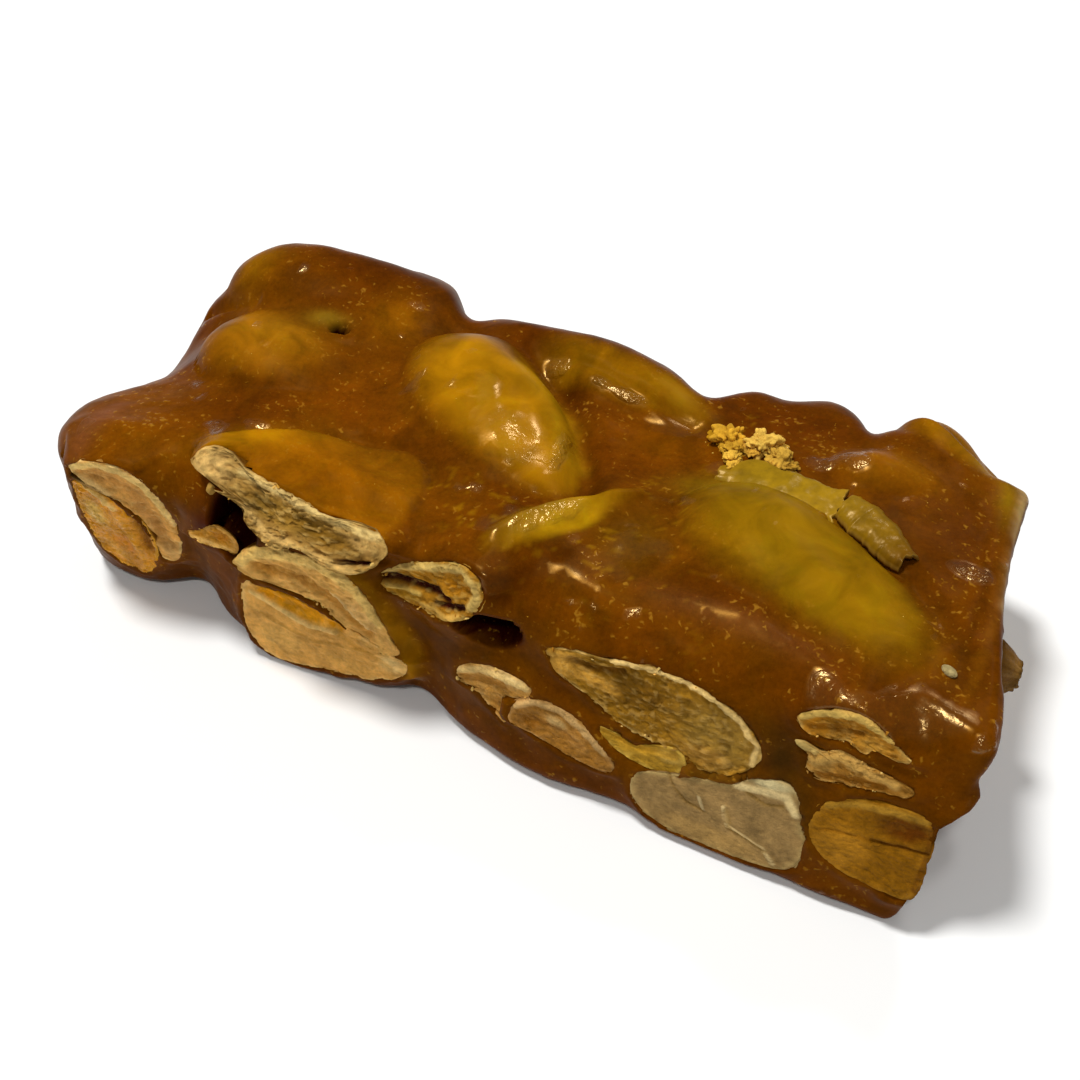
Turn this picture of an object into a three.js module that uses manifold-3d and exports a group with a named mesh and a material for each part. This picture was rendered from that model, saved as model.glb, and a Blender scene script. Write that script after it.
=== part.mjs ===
// A block of hard almond nougat: whole almonds cooked into dark caramel, poured as a slab and cut.
// Millimetres, +Z up, +X along the bar, -Y the cut front. The origin is the middle of the bottom.
import * as THREE from "three";
import { mergeVertices } from "three/addons/utils/BufferGeometryUtils.js";
import Module from "manifold-3d";

const wasm = await Module();
wasm.setup();

// ---- driving dimensions ----
const LENGTH = 75.5;
const DEPTH = 29.5;
const THICKNESS = 16.5;
const CROWN_RADIUS = 4; // soft upper edges, where the caramel flowed
const FOOT_RADIUS = 1.2; // crisp lower edges, where it lay on the slab
const CORNER_RADIUS = 3.2; // upright corners, at the foot
const FACET = 3.6; // grid step on the block's faces
const GAP = 0.3; // clearance between an almond and its pocket
const PROUD = 0.35; // how far a cut almond stands out of the caramel round it
const LEAN_MIDDLE = 1; // how far the foot of the cut front stands out past its top, at mid-length
const LEAN_SLOPE = 0.09; // and how much more of that there is for each millimetre along the bar
const END_UNDERCUT = 3.2; // how far the foot of the right end lies in under its top
const FRONT_Y = -12.5; // the cut front at its top edge
const BACK_Y = FRONT_Y + DEPTH;
const LEFT_X = -38.4;
const RIGHT_X = LEFT_X + LENGTH;

const CARAMEL = new THREE.MeshStandardMaterial({ color: 0x7a4206, roughness: 0.25, metalness: 0 });
const GLAZED = new THREE.MeshStandardMaterial({ color: 0xa4700c, roughness: 0.3, metalness: 0 });
const CUT_NUT = new THREE.MeshStandardMaterial({ color: 0xc3a676, roughness: 0.8, metalness: 0 });
const SKIN_SIDE = new THREE.MeshStandardMaterial({ color: 0xb07c34, roughness: 0.6, metalness: 0 });

// ---- small helpers ----
const { clamp, degToRad, lerp } = THREE.MathUtils;
const bell = (distance) => Math.exp(-distance * distance);
const ease = (value) => THREE.MathUtils.smoothstep(value, 0, 1);

function moveVertices(geometry, move) {
  const position = geometry.getAttribute("position");
  const point = new THREE.Vector3();
  for (let i = 0; i < position.count; i++) {
    point.fromBufferAttribute(position, i);
    move(point);
    position.setXYZ(i, point.x, point.y, point.z);
  }
  return geometry;
}

function toSolid(geometry) {
  const bare = geometry.clone();
  bare.deleteAttribute("normal");
  bare.deleteAttribute("uv");
  const merged = mergeVertices(bare, 1e-4);
  const vertProperties = merged.getAttribute("position").array;
  const triVerts = new Uint32Array(merged.index.array);
  return new wasm.Manifold(new wasm.Mesh({ numProp: 3, vertProperties, triVerts }));
}

function toGeometry(solid) {
  const { vertProperties, triVerts } = solid.getMesh();
  const geometry = new THREE.BufferGeometry();
  geometry.setAttribute("position", new THREE.BufferAttribute(vertProperties, 3));
  geometry.setIndex(new THREE.BufferAttribute(triVerts, 1));
  geometry.computeVertexNormals();
  return geometry;
}

// ---- the uneven sides: lobes that push a side out, or in where out is negative ----
// at is the place along the side and reach how far the lobe fades. low is 1 for a lobe that is gone
// at the top and 0 for one as strong at the top as at the foot.
const FRONT_LOBES = [
  { at: -27, reach: 3.2, out: -2.4, low: 0.8 },
  { at: -15, reach: 6, out: 0.7, low: 0.6 },
  { at: -4, reach: 3, out: -1.5, low: 0.6 },
  { at: 8, reach: 7, out: 1.5, low: 1 },
  { at: 21, reach: 5, out: 0.9, low: 1 },
  { at: 31, reach: 5, out: 0.9, low: 1 },
];
const BACK_LOBES = [
  { at: -36.5, reach: 4.5, out: -4, low: 0 },
  { at: -20, reach: 10, out: 3.4, low: 0 },
  { at: -19, reach: 4, out: 0.9, low: 0 },
  { at: -13.4, reach: 2, out: -2.2, low: 0 },
  { at: -1, reach: 6, out: 2.2, low: 0 },
  { at: 9.4, reach: 2.4, out: -1.8, low: 0 },
  { at: 13, reach: 2.4, out: 1.1, low: 0 },
  { at: 18, reach: 5, out: 1.2, low: 0 },
  { at: 20, reach: 2.6, out: 1.6, low: 0 },
  { at: 23.8, reach: 1.2, out: -1.3, low: 0 },
  { at: 27.5, reach: 3, out: 1, low: 0 },
  { at: 38, reach: 7, out: -4.2, low: 0 },
];
const LEFT_LOBES = [
  { at: -5, reach: 5, out: 1.1, low: 0 },
  { at: 4, reach: 7, out: -1.6, low: 0 },
  { at: 13, reach: 4, out: -0.6, low: 0 },
];
const RIGHT_LOBES = [
  { at: -12, reach: 5, out: 0.7, low: 0 },
  { at: 2, reach: 6, out: -0.5, low: 0 },
  { at: 13, reach: 12, out: -2.1, low: 0 },
];
const LOW_FADE = 1.3; // a low lobe is gone before it reaches the top

const push = (lobes, along, share) =>
  lobes.reduce((sum, { at, reach, out, low }) => {
    return sum + out * bell((along - at) / reach) * (1 - low * ease(share * LOW_FADE));
  }, 0);

const heightShare = (z) => clamp(z / THICKNESS, 0, 1);
const frontLean = (x, share) => (LEAN_MIDDLE + LEAN_SLOPE * x) * (1 - share);
const frontY = (x, z) =>
  FRONT_Y - frontLean(x, heightShare(z)) - push(FRONT_LOBES, x, heightShare(z));
const backY = (x, z) => BACK_Y + push(BACK_LOBES, x, heightShare(z));
const leftX = (y, z) => LEFT_X - push(LEFT_LOBES, y, heightShare(z));
const rightX = (y, z) =>
  RIGHT_X - END_UNDERCUT * (1 - heightShare(z)) + push(RIGHT_LOBES, y, heightShare(z));

// ---- the uneven top: a swell over each almond near the surface, and the hollows between them ----
const TOP_SWELLS = [
  { x: -25, y: 3, along: 9, across: 5.5, yaw: -8, rise: 1.3 },
  { x: -24, y: 13.5, along: 11, across: 5.5, yaw: 6, rise: 2.6 },
  { x: -6, y: 3.4, along: 12.5, across: 7, yaw: -38, rise: 1.9 },
  { x: 21.5, y: -2.8, along: 12.5, across: 8, yaw: -21, rise: 1.6 },
  { x: 1.5, y: 12.6, along: 11, across: 4.6, yaw: -8, rise: 1.6 },
  { x: 4.3, y: -5, along: 8.5, across: 3, yaw: 48, rise: 1 },
  { x: 25.5, y: 8.6, along: 7, across: 4.5, yaw: -6, rise: 0.9 },
  { x: 27.5, y: 14.5, along: 5, across: 3.6, yaw: 0, rise: 1.6 },
  { x: -15.5, y: -8, along: 10, across: 5, yaw: -10, rise: 1.5 },
  { x: 7, y: 4, along: 6, across: 5, yaw: 0, rise: -0.7 },
  { x: -11, y: -4.5, along: 6, across: 2.2, yaw: -22, rise: -0.9 },
  { x: 11, y: 12, along: 4, across: 4, yaw: 0, rise: -0.8 },
  { x: -12.5, y: 13, along: 2.6, across: 5, yaw: 0, rise: -1.4 },
  { x: -37, y: 4, along: 7, across: 8, yaw: 0, rise: -3.4 },
  { x: -33, y: 12.4, along: 2.6, across: 2.4, yaw: 0, rise: 0.8 },
  { x: -31, y: -10.5, along: 4, across: 3, yaw: 0, rise: 1 },
];

function topRise(x, y) {
  return TOP_SWELLS.reduce((sum, swell) => {
    const yaw = degToRad(swell.yaw);
    const dx = x - swell.x;
    const dy = y - swell.y;
    const along = (dx * Math.cos(yaw) + dy * Math.sin(yaw)) / swell.along;
    const across = (dy * Math.cos(yaw) - dx * Math.sin(yaw)) / swell.across;
    return sum + swell.rise * bell(Math.hypot(along, across));
  }, 0);
}

// ---- the caramel block, before the almonds' pockets are cut ----
const HALF = new THREE.Vector3(LENGTH, DEPTH, THICKNESS).multiplyScalar(0.5);

function roundedBox() {
  const cells = [LENGTH, DEPTH, THICKNESS].map((size) => Math.round(size / FACET));
  return moveVertices(new THREE.BoxGeometry(LENGTH, DEPTH, THICKNESS, ...cells), (p) => {
    const corner = lerp(CORNER_RADIUS, CROWN_RADIUS, ease(p.z / HALF.z + 0.5));
    const heart = new THREE.Vector3(
      clamp(p.x, corner - HALF.x, HALF.x - corner),
      clamp(p.y, corner - HALF.y, HALF.y - corner),
      clamp(p.z, FOOT_RADIUS - HALF.z, HALF.z - CROWN_RADIUS),
    );
    const out = p.clone().sub(heart);
    const edge = out.z > 0 ? CROWN_RADIUS : FOOT_RADIUS;
    const reach = Math.hypot(out.x / corner, out.y / corner, out.z / edge);
    if (reach > 0) p.copy(heart).addScaledVector(out, 1 / reach);
  });
}

function caramelBlock() {
  const geometry = moveVertices(roundedBox(), (p) => {
    const share = (p.z + HALF.z) / THICKNESS;
    const z = share * THICKNESS;
    const x = p.x + (LEFT_X + RIGHT_X) / 2;
    const y = p.y + (FRONT_Y + BACK_Y) / 2;
    p.y = y + lerp(frontY(x, z) - FRONT_Y, backY(x, z) - BACK_Y, (y - FRONT_Y) / DEPTH);
    p.x = x + lerp(leftX(y, z) - LEFT_X, rightX(y, z) - RIGHT_X, (x - LEFT_X) / LENGTH);
    p.z = z + share ** 2 * topRise(p.x, p.y);
  });
  return toSolid(geometry);
}

// ---- whole almonds whose tops stand clear of the caramel ----
// size is a kernel's length, width and thickness. turn is its roll on to an edge, the lift of its
// point, and its heading, in degrees.
const WHOLE_ALMONDS = {
  almond_middle: { at: [-5.2, 3.5, 15.1], size: [22.6, 11.4, 9], turn: [6, -4, -39] },
  almond_right: { at: [22, -2.7, 14.7], size: [23, 11, 9], turn: [6, -2, -22] },
  almond_rear: { at: [1.9, 12.7, 14.5], size: [19, 7, 7], turn: [-16, 2, -11] },
  almond_ridge: { at: [5.2, -5.1, 14.2], size: [14.5, 3.4, 7.6], turn: [0, 0, 48] },
  almond_rear_left: { at: [-25, 13.8, 14.6], size: [21, 10, 9.6], turn: [0, 0, 8] },
  almond_left: { at: [-25.3, 3.4, 13.8], size: [15, 9, 9.6], turn: [0, 0, -8] },
  almond_far_right: { at: [25, 9.3, 13.7], size: [11, 5.6, 9], turn: [0, 0, 2] },
  almond_rear_corner: { at: [28, 14.9, 14.6], size: [9.6, 5.4, 7], turn: [0, 0, -30] },
};
const POINTED = 0.28; // how much narrower the kernel gets towards its point
const KERNEL_MERIDIANS = 12;
const KERNEL_RINGS = 8;

function kernel({ size }, grow = 0) {
  const [length, width, thickness] = size.map((across) => across / 2 + grow);
  const ball = new THREE.SphereGeometry(1, KERNEL_MERIDIANS, KERNEL_RINGS);
  return moveVertices(ball, (p) => {
    const along = -p.y;
    const slim = 1 - POINTED * along;
    p.set(along * length, p.x * slim * width, p.z * slim * thickness);
  });
}

function kernelPlace({ at, turn: [roll, lift, heading] }) {
  const angles = [roll, -lift, heading].map(degToRad);
  const euler = new THREE.Euler(...angles, "ZYX");
  return new THREE.Matrix4().makeRotationFromEuler(euler).setPosition(...at);
}

// ---- almonds laid open by a cut: flat outside, rounded behind ----
// at is the place on the side, along it and up. size is the cut face's length and height and how far
// the kernel goes in. tilt turns the face on the side and tip turns it up from the side. square 2 is
// an ellipse and more is squarer, taper thins the right end, and bend arches the middle up.
const FRONT_ALMONDS = {
  end_upper: { at: [-30.4, 11.2], size: [11.4, 3, 6], tilt: -62, square: 3, taper: 0.1, bend: 0.9 },
  end_lower: { at: [-32.7, 7.9], size: [9.6, 4.6, 5], tilt: -68, taper: -0.2, bend: -0.3 },
  chip_left: { at: [-22.3, 11.6], size: [5, 2.2, 3], tilt: 20, taper: -0.5 },
  shelf: { at: [-14.8, 16.3], size: [17.6, 4.4, 5], tilt: -13, tip: 38, square: 2.8, taper: -0.1 },
  split_upper: { at: [-13, 9], size: [13.6, 3.6, 5], tilt: -20, taper: -0.1, bend: 0.8 },
  split_lower: { at: [-12.8, 4.6], size: [13.6, 4.4, 6], tilt: -4, square: 2.8, taper: 0.5 },
  crumbly: { at: [-2.9, 14.1], size: [8.8, 4.2, 3], tilt: 14, tip: 14 },
  sliver: { at: [2, 7.4], size: [5.8, 3.4, 4], tilt: 14, taper: -0.2, bend: -0.4 },
  slip: { at: [8.3, 4.9], size: [8, 3.8, 4], tilt: -16, taper: 0.1, bend: 0.4 },
  rough: { at: [14.8, 10.7], size: [16.6, 6.2, 7], tilt: -10, taper: -0.4 },
  wedge: { at: [14, 6.8], size: [6, 1.7, 3], tilt: -4, taper: -0.3, bend: -0.5 },
  pale: { at: [20.6, 3.7], size: [13, 5.8, 5], tilt: 11, square: 2.9, taper: -0.36 },
  gap_upper: { at: [28.4, 13.9], size: [7.8, 2.4, 2.4], tilt: 4, taper: 0.2, bend: 0.9 },
  gap_lower: { at: [29.6, 11.1], size: [7.2, 2.4, 4], tilt: 6, taper: 0.3 },
  corner: { at: [31.4, 6.2], size: [8.6, 6.2, 6], tilt: 24, square: 2.4 },
};
const BACK_ALMONDS = {
  back_first: { at: [26, 8], size: [13, 6.4, 6], tilt: 14, square: 2.4, taper: 0.2 },
  back_second: { at: [12, 5], size: [12, 5.6, 6], tilt: -18, taper: 0.25 },
  back_third: { at: [-2.6, 6], size: [14, 5.4, 6], tilt: 10, square: 2.5 },
  back_fourth: { at: [-17, 7.4], size: [9, 7.4, 6], tilt: -30 },
  back_fifth: { at: [-29, 5.6], size: [11, 5.6, 5], tilt: 22, taper: -0.2 },
};
const RIGHT_ALMONDS = {
  end_right: { at: [9.5, 9.6], size: [14, 7.4, 5], tilt: 6, square: 2.5, taper: -0.2 },
  shard: { at: [-0.6, 11.2], size: [5.4, 4.6, 5], tilt: -16, taper: 0.2, proud: 2.6 },
};
const LEFT_ALMONDS = {
  end_left: { at: [6, 6], size: [10, 5.4, 5], tilt: -12, taper: 0.2 },
};
const SKIN_SIDE_OUT = ["end_lower", "corner", "back_third", "shard"];

// Each side's surface, which way along it is right as seen from outside, and what it lays open.
const SIDES = [
  { right: 1, spot: (along, z) => [along, frontY(along, z), z], almonds: FRONT_ALMONDS },
  { right: -1, spot: (along, z) => [along, backY(along, z), z], almonds: BACK_ALMONDS },
  { right: 1, spot: (along, z) => [rightX(along, z), along, z], almonds: RIGHT_ALMONDS },
  { right: -1, spot: (along, z) => [leftX(along, z), along, z], almonds: LEFT_ALMONDS },
];

const CUT_MERIDIANS = 13;
const FACE_EDGE = 0.94; // share of the outline where the flat face starts to round off
const BURIED = [
  { share: 1, down: 0.1 },
  { share: 0.9, down: 0.55 },
  { share: 0, down: 1 },
]; // from the rim to the buried end: share of the outline, share of the depth
const MOUTH = 2.5; // how far a pocket runs on out of the side

function cutAlmond({ size, square = 2, taper = 0, bend = 0 }, grow = 0) {
  const [length, height] = size.map((across) => across / 2 + grow);
  const depth = size[2] + grow;
  const mouth = grow > 0 ? MOUTH : 0;
  const edge = grow > 0 ? 1 : FACE_EDGE;
  const buried = BURIED.map(({ share, down }) => new THREE.Vector2(share, -down * depth));
  const profile = [new THREE.Vector2(0, mouth), new THREE.Vector2(edge, mouth), ...buried];
  return moveVertices(new THREE.LatheGeometry(profile.reverse(), CUT_MERIDIANS), (p) => {
    const angle = Math.atan2(-p.z, p.x);
    const cosine = Math.cos(angle);
    const sine = Math.sin(angle);
    const squared = Math.abs(cosine) ** square + Math.abs(sine) ** square;
    const radius = Math.hypot(p.x, p.z) * squared ** (-1 / square);
    const along = radius * cosine;
    const across = radius * sine * (1 - taper * along) * height;
    const arch = (bend * (1 - along * along) * size[1]) / 2;
    p.x = along * length;
    p.z = -(across + arch);
  });
}

function cutPlace({ right, spot }, { at: [along, z], tilt, tip = 0, proud = PROUD }) {
  const point = new THREE.Vector3(...spot(along, z));
  const sideways = new THREE.Vector3(...spot(along + right, z)).sub(point).normalize();
  const upwards = new THREE.Vector3(...spot(along, z + 1)).sub(point);
  const outward = sideways.clone().cross(upwards).normalize();
  const down = sideways.clone().cross(outward);
  return new THREE.Matrix4()
    .makeBasis(sideways, outward, down)
    .multiply(new THREE.Matrix4().makeRotationX(-degToRad(tip)))
    .multiply(new THREE.Matrix4().makeRotationY(degToRad(tilt)))
    .setPosition(point.addScaledVector(outward, proud));
}

// ---- two flakes of glaze lifted off behind the right almond ----
// size is length, width and thickness. arch is how far the ends hang, lean tips the flake over.
const FLAKES = {
  flake_left: { at: [17.6, 4.9, 17.7], size: [8.6, 2.4, 0.8], arch: 0.7, heading: -6, lean: -14 },
  flake_right: { at: [25.6, 2.5, 17.5], size: [6.6, 2.4, 0.8], arch: 0.5, heading: -30, lean: -10 },
};
const FLAKE_CELLS = 5;
const FLAKE_POINT = 0.75; // how much its width falls away towards the ends

function flake({ size, arch }, grow = 0) {
  const grown = size.map((across) => across + 2 * grow);
  return moveVertices(new THREE.BoxGeometry(...grown, FLAKE_CELLS, 1, 1), (p) => {
    const along = (2 * p.x) / grown[0];
    p.y *= 1 - FLAKE_POINT * along * along;
    p.z -= arch * along * along;
  });
}

function flakePlace({ at, heading, lean }) {
  return new THREE.Matrix4()
    .makeRotationZ(degToRad(heading))
    .multiply(new THREE.Matrix4().makeRotationX(degToRad(lean)))
    .setPosition(...at);
}

// ---- holes left by bubbles in the cut front ----
const BUBBLES = [
  { at: [-19.6, 13.2], width: 3.2, height: 5, deep: 5 },
  { at: [1.6, 11.6], width: 5, height: 2.4, deep: 5 },
];
const BUBBLE_MERIDIANS = 10;
const BUBBLE_RINGS = 6;

function bubble({ at: [x, z], width, height, deep }) {
  return new THREE.SphereGeometry(1, BUBBLE_MERIDIANS, BUBBLE_RINGS)
    .scale(width / 2, deep, height / 2)
    .translate(x, frontY(x, z), z);
}

// ---- putting it together ----
const block = new THREE.Group();
let cut = caramelBlock();

// A piece is set in the block with a clearance all round, cut by the same shape grown a little.
function setIn(name, shape, piece, place, material) {
  cut = cut.subtract(toSolid(shape(piece, GAP).applyMatrix4(place)));
  const mesh = new THREE.Mesh(shape(piece), material);
  mesh.name = name;
  mesh.applyMatrix4(place);
  block.add(mesh);
}

for (const [name, almond] of Object.entries(WHOLE_ALMONDS)) {
  setIn(name, kernel, almond, kernelPlace(almond), GLAZED);
}
for (const side of SIDES) {
  for (const [name, almond] of Object.entries(side.almonds)) {
    const material = SKIN_SIDE_OUT.includes(name) ? SKIN_SIDE : CUT_NUT;
    setIn("almond_" + name, cutAlmond, almond, cutPlace(side, almond), material);
  }
}
for (const [name, lifted] of Object.entries(FLAKES)) {
  setIn(name, flake, lifted, flakePlace(lifted), GLAZED);
}
for (const hole of BUBBLES) {
  cut = cut.subtract(toSolid(bubble(hole)));
}

// Crumbs cut loose between two pockets fall away: the largest body is the block.
const bodies = cut.decompose().sort((a, b) => b.volume() - a.volume());
const caramel = new THREE.Mesh(toGeometry(bodies[0]), CARAMEL);
caramel.name = "caramel";
block.add(caramel);

// The block is centred over the origin and stands on its bottom face.
const bounds = new THREE.Box3().setFromObject(block, true);
const middle = bounds.getCenter(new THREE.Vector3());
block.position.set(-middle.x, -middle.y, -bounds.min.z);

export default block;
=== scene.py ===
"""A block of hard almond nougat: whole almonds boiled into dark caramel, poured as a slab and cut."""

import itertools
import math

import bmesh
import bpy
import numpy as np
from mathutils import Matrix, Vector
from mathutils.kdtree import KDTree


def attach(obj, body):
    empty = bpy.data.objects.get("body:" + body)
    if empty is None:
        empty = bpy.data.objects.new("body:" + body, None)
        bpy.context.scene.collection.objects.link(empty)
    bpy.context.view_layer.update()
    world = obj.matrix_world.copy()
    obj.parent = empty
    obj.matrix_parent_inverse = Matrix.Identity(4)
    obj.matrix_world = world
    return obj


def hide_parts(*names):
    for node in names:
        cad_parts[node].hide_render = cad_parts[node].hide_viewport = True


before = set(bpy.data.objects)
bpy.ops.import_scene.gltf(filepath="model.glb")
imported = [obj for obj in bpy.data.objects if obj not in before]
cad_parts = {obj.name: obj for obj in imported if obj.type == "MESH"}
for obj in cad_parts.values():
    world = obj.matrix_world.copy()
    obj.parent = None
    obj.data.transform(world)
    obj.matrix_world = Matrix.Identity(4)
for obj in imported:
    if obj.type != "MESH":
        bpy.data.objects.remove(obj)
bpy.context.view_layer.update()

# ---- whole almonds ----
# Blanched and roasted kernels that were stirred whole into the hot caramel and set just under its
# top, which holds them all round. Each is an egg, flattened and narrower towards its point.
MM = 0.001
BAR_SHIFT = np.array([0.49361, -2.88171, 0.0])  # mm from the bar's own frame to the row's
WHOLE_ALMONDS = {  # middle, length, width and thickness in mm, and the turn (roll, lift, heading)
    "almond_middle": dict(at=(-5.2, 3.5, 15.1), size=(22.6, 11.4, 9), turn=(6, -4, -39)),
    "almond_right": dict(at=(22, -2.7, 14.7), size=(23, 11, 9), turn=(6, -2, -22)),
    "almond_rear": dict(at=(1.9, 12.7, 14.5), size=(19, 7, 7), turn=(-16, 2, -11)),
    "almond_ridge": dict(at=(4.3, -4.3, 14.2), size=(14.5, 4, 7.6), turn=(0, 0, 48)),
    "almond_rear_left": dict(at=(-25, 13.8, 14.6), size=(21, 10, 9.6), turn=(0, 0, 8)),
    "almond_left": dict(at=(-25.3, 3.4, 13.8), size=(15, 9, 9.2), turn=(0, 0, -8)),
    "almond_far_right": dict(at=(25, 9.3, 13.7), size=(11, 5.6, 9), turn=(0, 0, 2)),
    "almond_rear_corner": dict(at=(28, 14.9, 14.6), size=(9.6, 5.4, 7), turn=(0, 0, -30)),
}
POINTED = 0.28  # how much narrower a kernel gets towards its point
SUNK = 0.35  # mm by which a kernel is smaller all round than the form that the caramel follows
KERNEL_CELLS = (40, 24, 16)


def box_skin(cells):
    """The points of a box's surface lattice, from 0 to 1 each way, and the quads between them."""
    strides = np.array([(cells[1] + 1) * (cells[2] + 1), cells[2] + 1, 1])
    quads = []
    for axis, side in itertools.product(range(3), (0, 1)):
        first, second = [k for k in range(3) if k != axis]
        steps = np.meshgrid(range(cells[first] + 1), range(cells[second] + 1), indexing="ij")
        key = steps[0] * strides[first] + steps[1] * strides[second]
        key = key + side * cells[axis] * strides[axis]
        corners = [key[:-1, :-1], key[1:, :-1], key[1:, 1:], key[:-1, 1:]]
        faces_out = (side == 1) != (axis == 1)
        quads.append(np.stack(corners if faces_out else corners[::-1], -1).reshape(-1, 4))
    keys, quads = np.unique(np.concatenate(quads), return_inverse=True)
    steps = np.stack([keys // strides[0], keys % strides[0] // strides[1], keys % strides[1]], -1)
    return steps / np.array(cells), quads.reshape(-1, 4)


def turned(roll, lift, heading):
    """The three directions of a kernel as columns: along it, across it and up through it."""
    a, b, c = (math.radians(angle) for angle in (roll, -lift, heading))
    about_x = np.array([[1, 0, 0], [0, math.cos(a), -math.sin(a)], [0, math.sin(a), math.cos(a)]])
    about_y = np.array([[math.cos(b), 0, math.sin(b)], [0, 1, 0], [-math.sin(b), 0, math.cos(b)]])
    about_z = np.array([[math.cos(c), -math.sin(c), 0], [math.sin(c), math.cos(c), 0], [0, 0, 1]])
    return about_z @ about_y @ about_x


def whole_kernel(almond):
    """The points and faces of one kernel: an egg, flattened, with its narrower point ahead."""
    points, quads = box_skin(KERNEL_CELLS)
    ball = 2 * points - 1
    ball = ball / np.linalg.norm(ball, axis=1)[:, None]
    slim = 1 - POINTED * ball[:, 0]
    half = np.array(almond["size"]) / 2 - SUNK
    local = np.stack([ball[:, 0], ball[:, 1] * slim, ball[:, 2] * slim], -1) * half
    return local @ turned(*almond["turn"]).T + almond["at"], quads.tolist()


def linear(hex_colour):
    """An sRGB hex colour as the linear colour that a shader takes."""
    parts = [int(hex_colour[k : k + 2], 16) / 255 for k in (0, 2, 4)]
    return [*(p / 12.92 if p <= 0.04045 else ((p + 0.055) / 1.055) ** 2.4 for p in parts), 1.0]


def noise_scale(size):
    """The scale that makes a noise's lumps about size mm across."""
    return 1 / (size * MM)


def new_material(name):
    material = bpy.data.materials.new(name)
    material.use_nodes = True
    tree = material.node_tree
    tree.nodes.clear()
    shader = tree.nodes.new("ShaderNodeBsdfPrincipled")
    output = tree.nodes.new("ShaderNodeOutputMaterial")
    tree.links.new(shader.outputs["BSDF"], output.inputs["Surface"])
    return material, tree, shader


def add_node(tree, kind, settings=None, **links):
    """Adds a node with its own settings, and gives its sockets, named with _ for a space or by their
    number after n, a value or another node's output."""
    node = tree.nodes.new(kind)
    for name, value in (settings or {}).items():
        setattr(node, name, value)
    for name, value in links.items():
        numbered = name[0] == "n" and name[1:].isdigit()
        socket = node.inputs[int(name[1:]) if numbered else name.replace("_", " ")]
        if isinstance(value, bpy.types.NodeSocket):
            tree.links.new(value, socket)
        else:
            socket.default_value = value
    return node


def new_piece(name, points, faces, material, tint, wet, smooth=True):
    """A mesh piece from points in mm in the bar's own frame, riding on the row's one body. Each point
    carries a linear tint and, as the tint's alpha, how wet it looks."""
    mesh = bpy.data.meshes.new(name)
    mesh.from_pydata(((points + BAR_SHIFT) * MM).tolist(), [], faces)
    stored = mesh.attributes.new("tint", "FLOAT_COLOR", "POINT")
    stored.data.foreach_set("color", np.c_[tint, np.clip(wet, 0, 1)].astype(np.float32).ravel())
    mesh.polygons.foreach_set("use_smooth", [smooth] * len(mesh.polygons))
    mesh.materials.append(material)
    piece = bpy.data.objects.new(name, mesh)
    bpy.context.scene.collection.objects.link(piece)
    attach(piece, "root")
    return piece


# Blanched almond: the brown skin was slipped off in boiling water, which leaves a smooth cream
# kernel with a dull sheen and faint tan clouds, one or two mm across.
blanched, tree, shader = new_material("blanched_almond")
place = add_node(tree, "ShaderNodeTexCoord").outputs["Object"]
clouds = add_node(tree, "ShaderNodeTexNoise", Vector=place, Scale=noise_scale(1.43), Detail=4.0)
mixed = add_node(tree, "ShaderNodeMix", dict(data_type="RGBA"), n0=clouds.outputs["Fac"],
                 n6=linear("a87a2c"), n7=linear("d8b268"))
tree.links.new(mixed.outputs[2], shader.inputs["Base Color"])
shader.inputs["Roughness"].default_value = 0.5

for node, almond in WHOLE_ALMONDS.items():
    points, faces = whole_kernel(almond)
    kernel = new_piece(node.replace("almond", "whole_almond"), points, faces, blanched,
                       np.ones((len(points), 3)), np.zeros(len(points)))
    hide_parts(node)

# ---- almonds laid open by the cut ----
# Kernels like the whole ones, sliced or broken by the knife and held in the slab by their uncut half.
# Their flesh is dry and crumbles, and it stands paler and ragged at the rim of each face.
CRACK_SHADE = "3c0505"  # painted shade: the red dark inside a crack, where light only reaches through caramel
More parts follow.
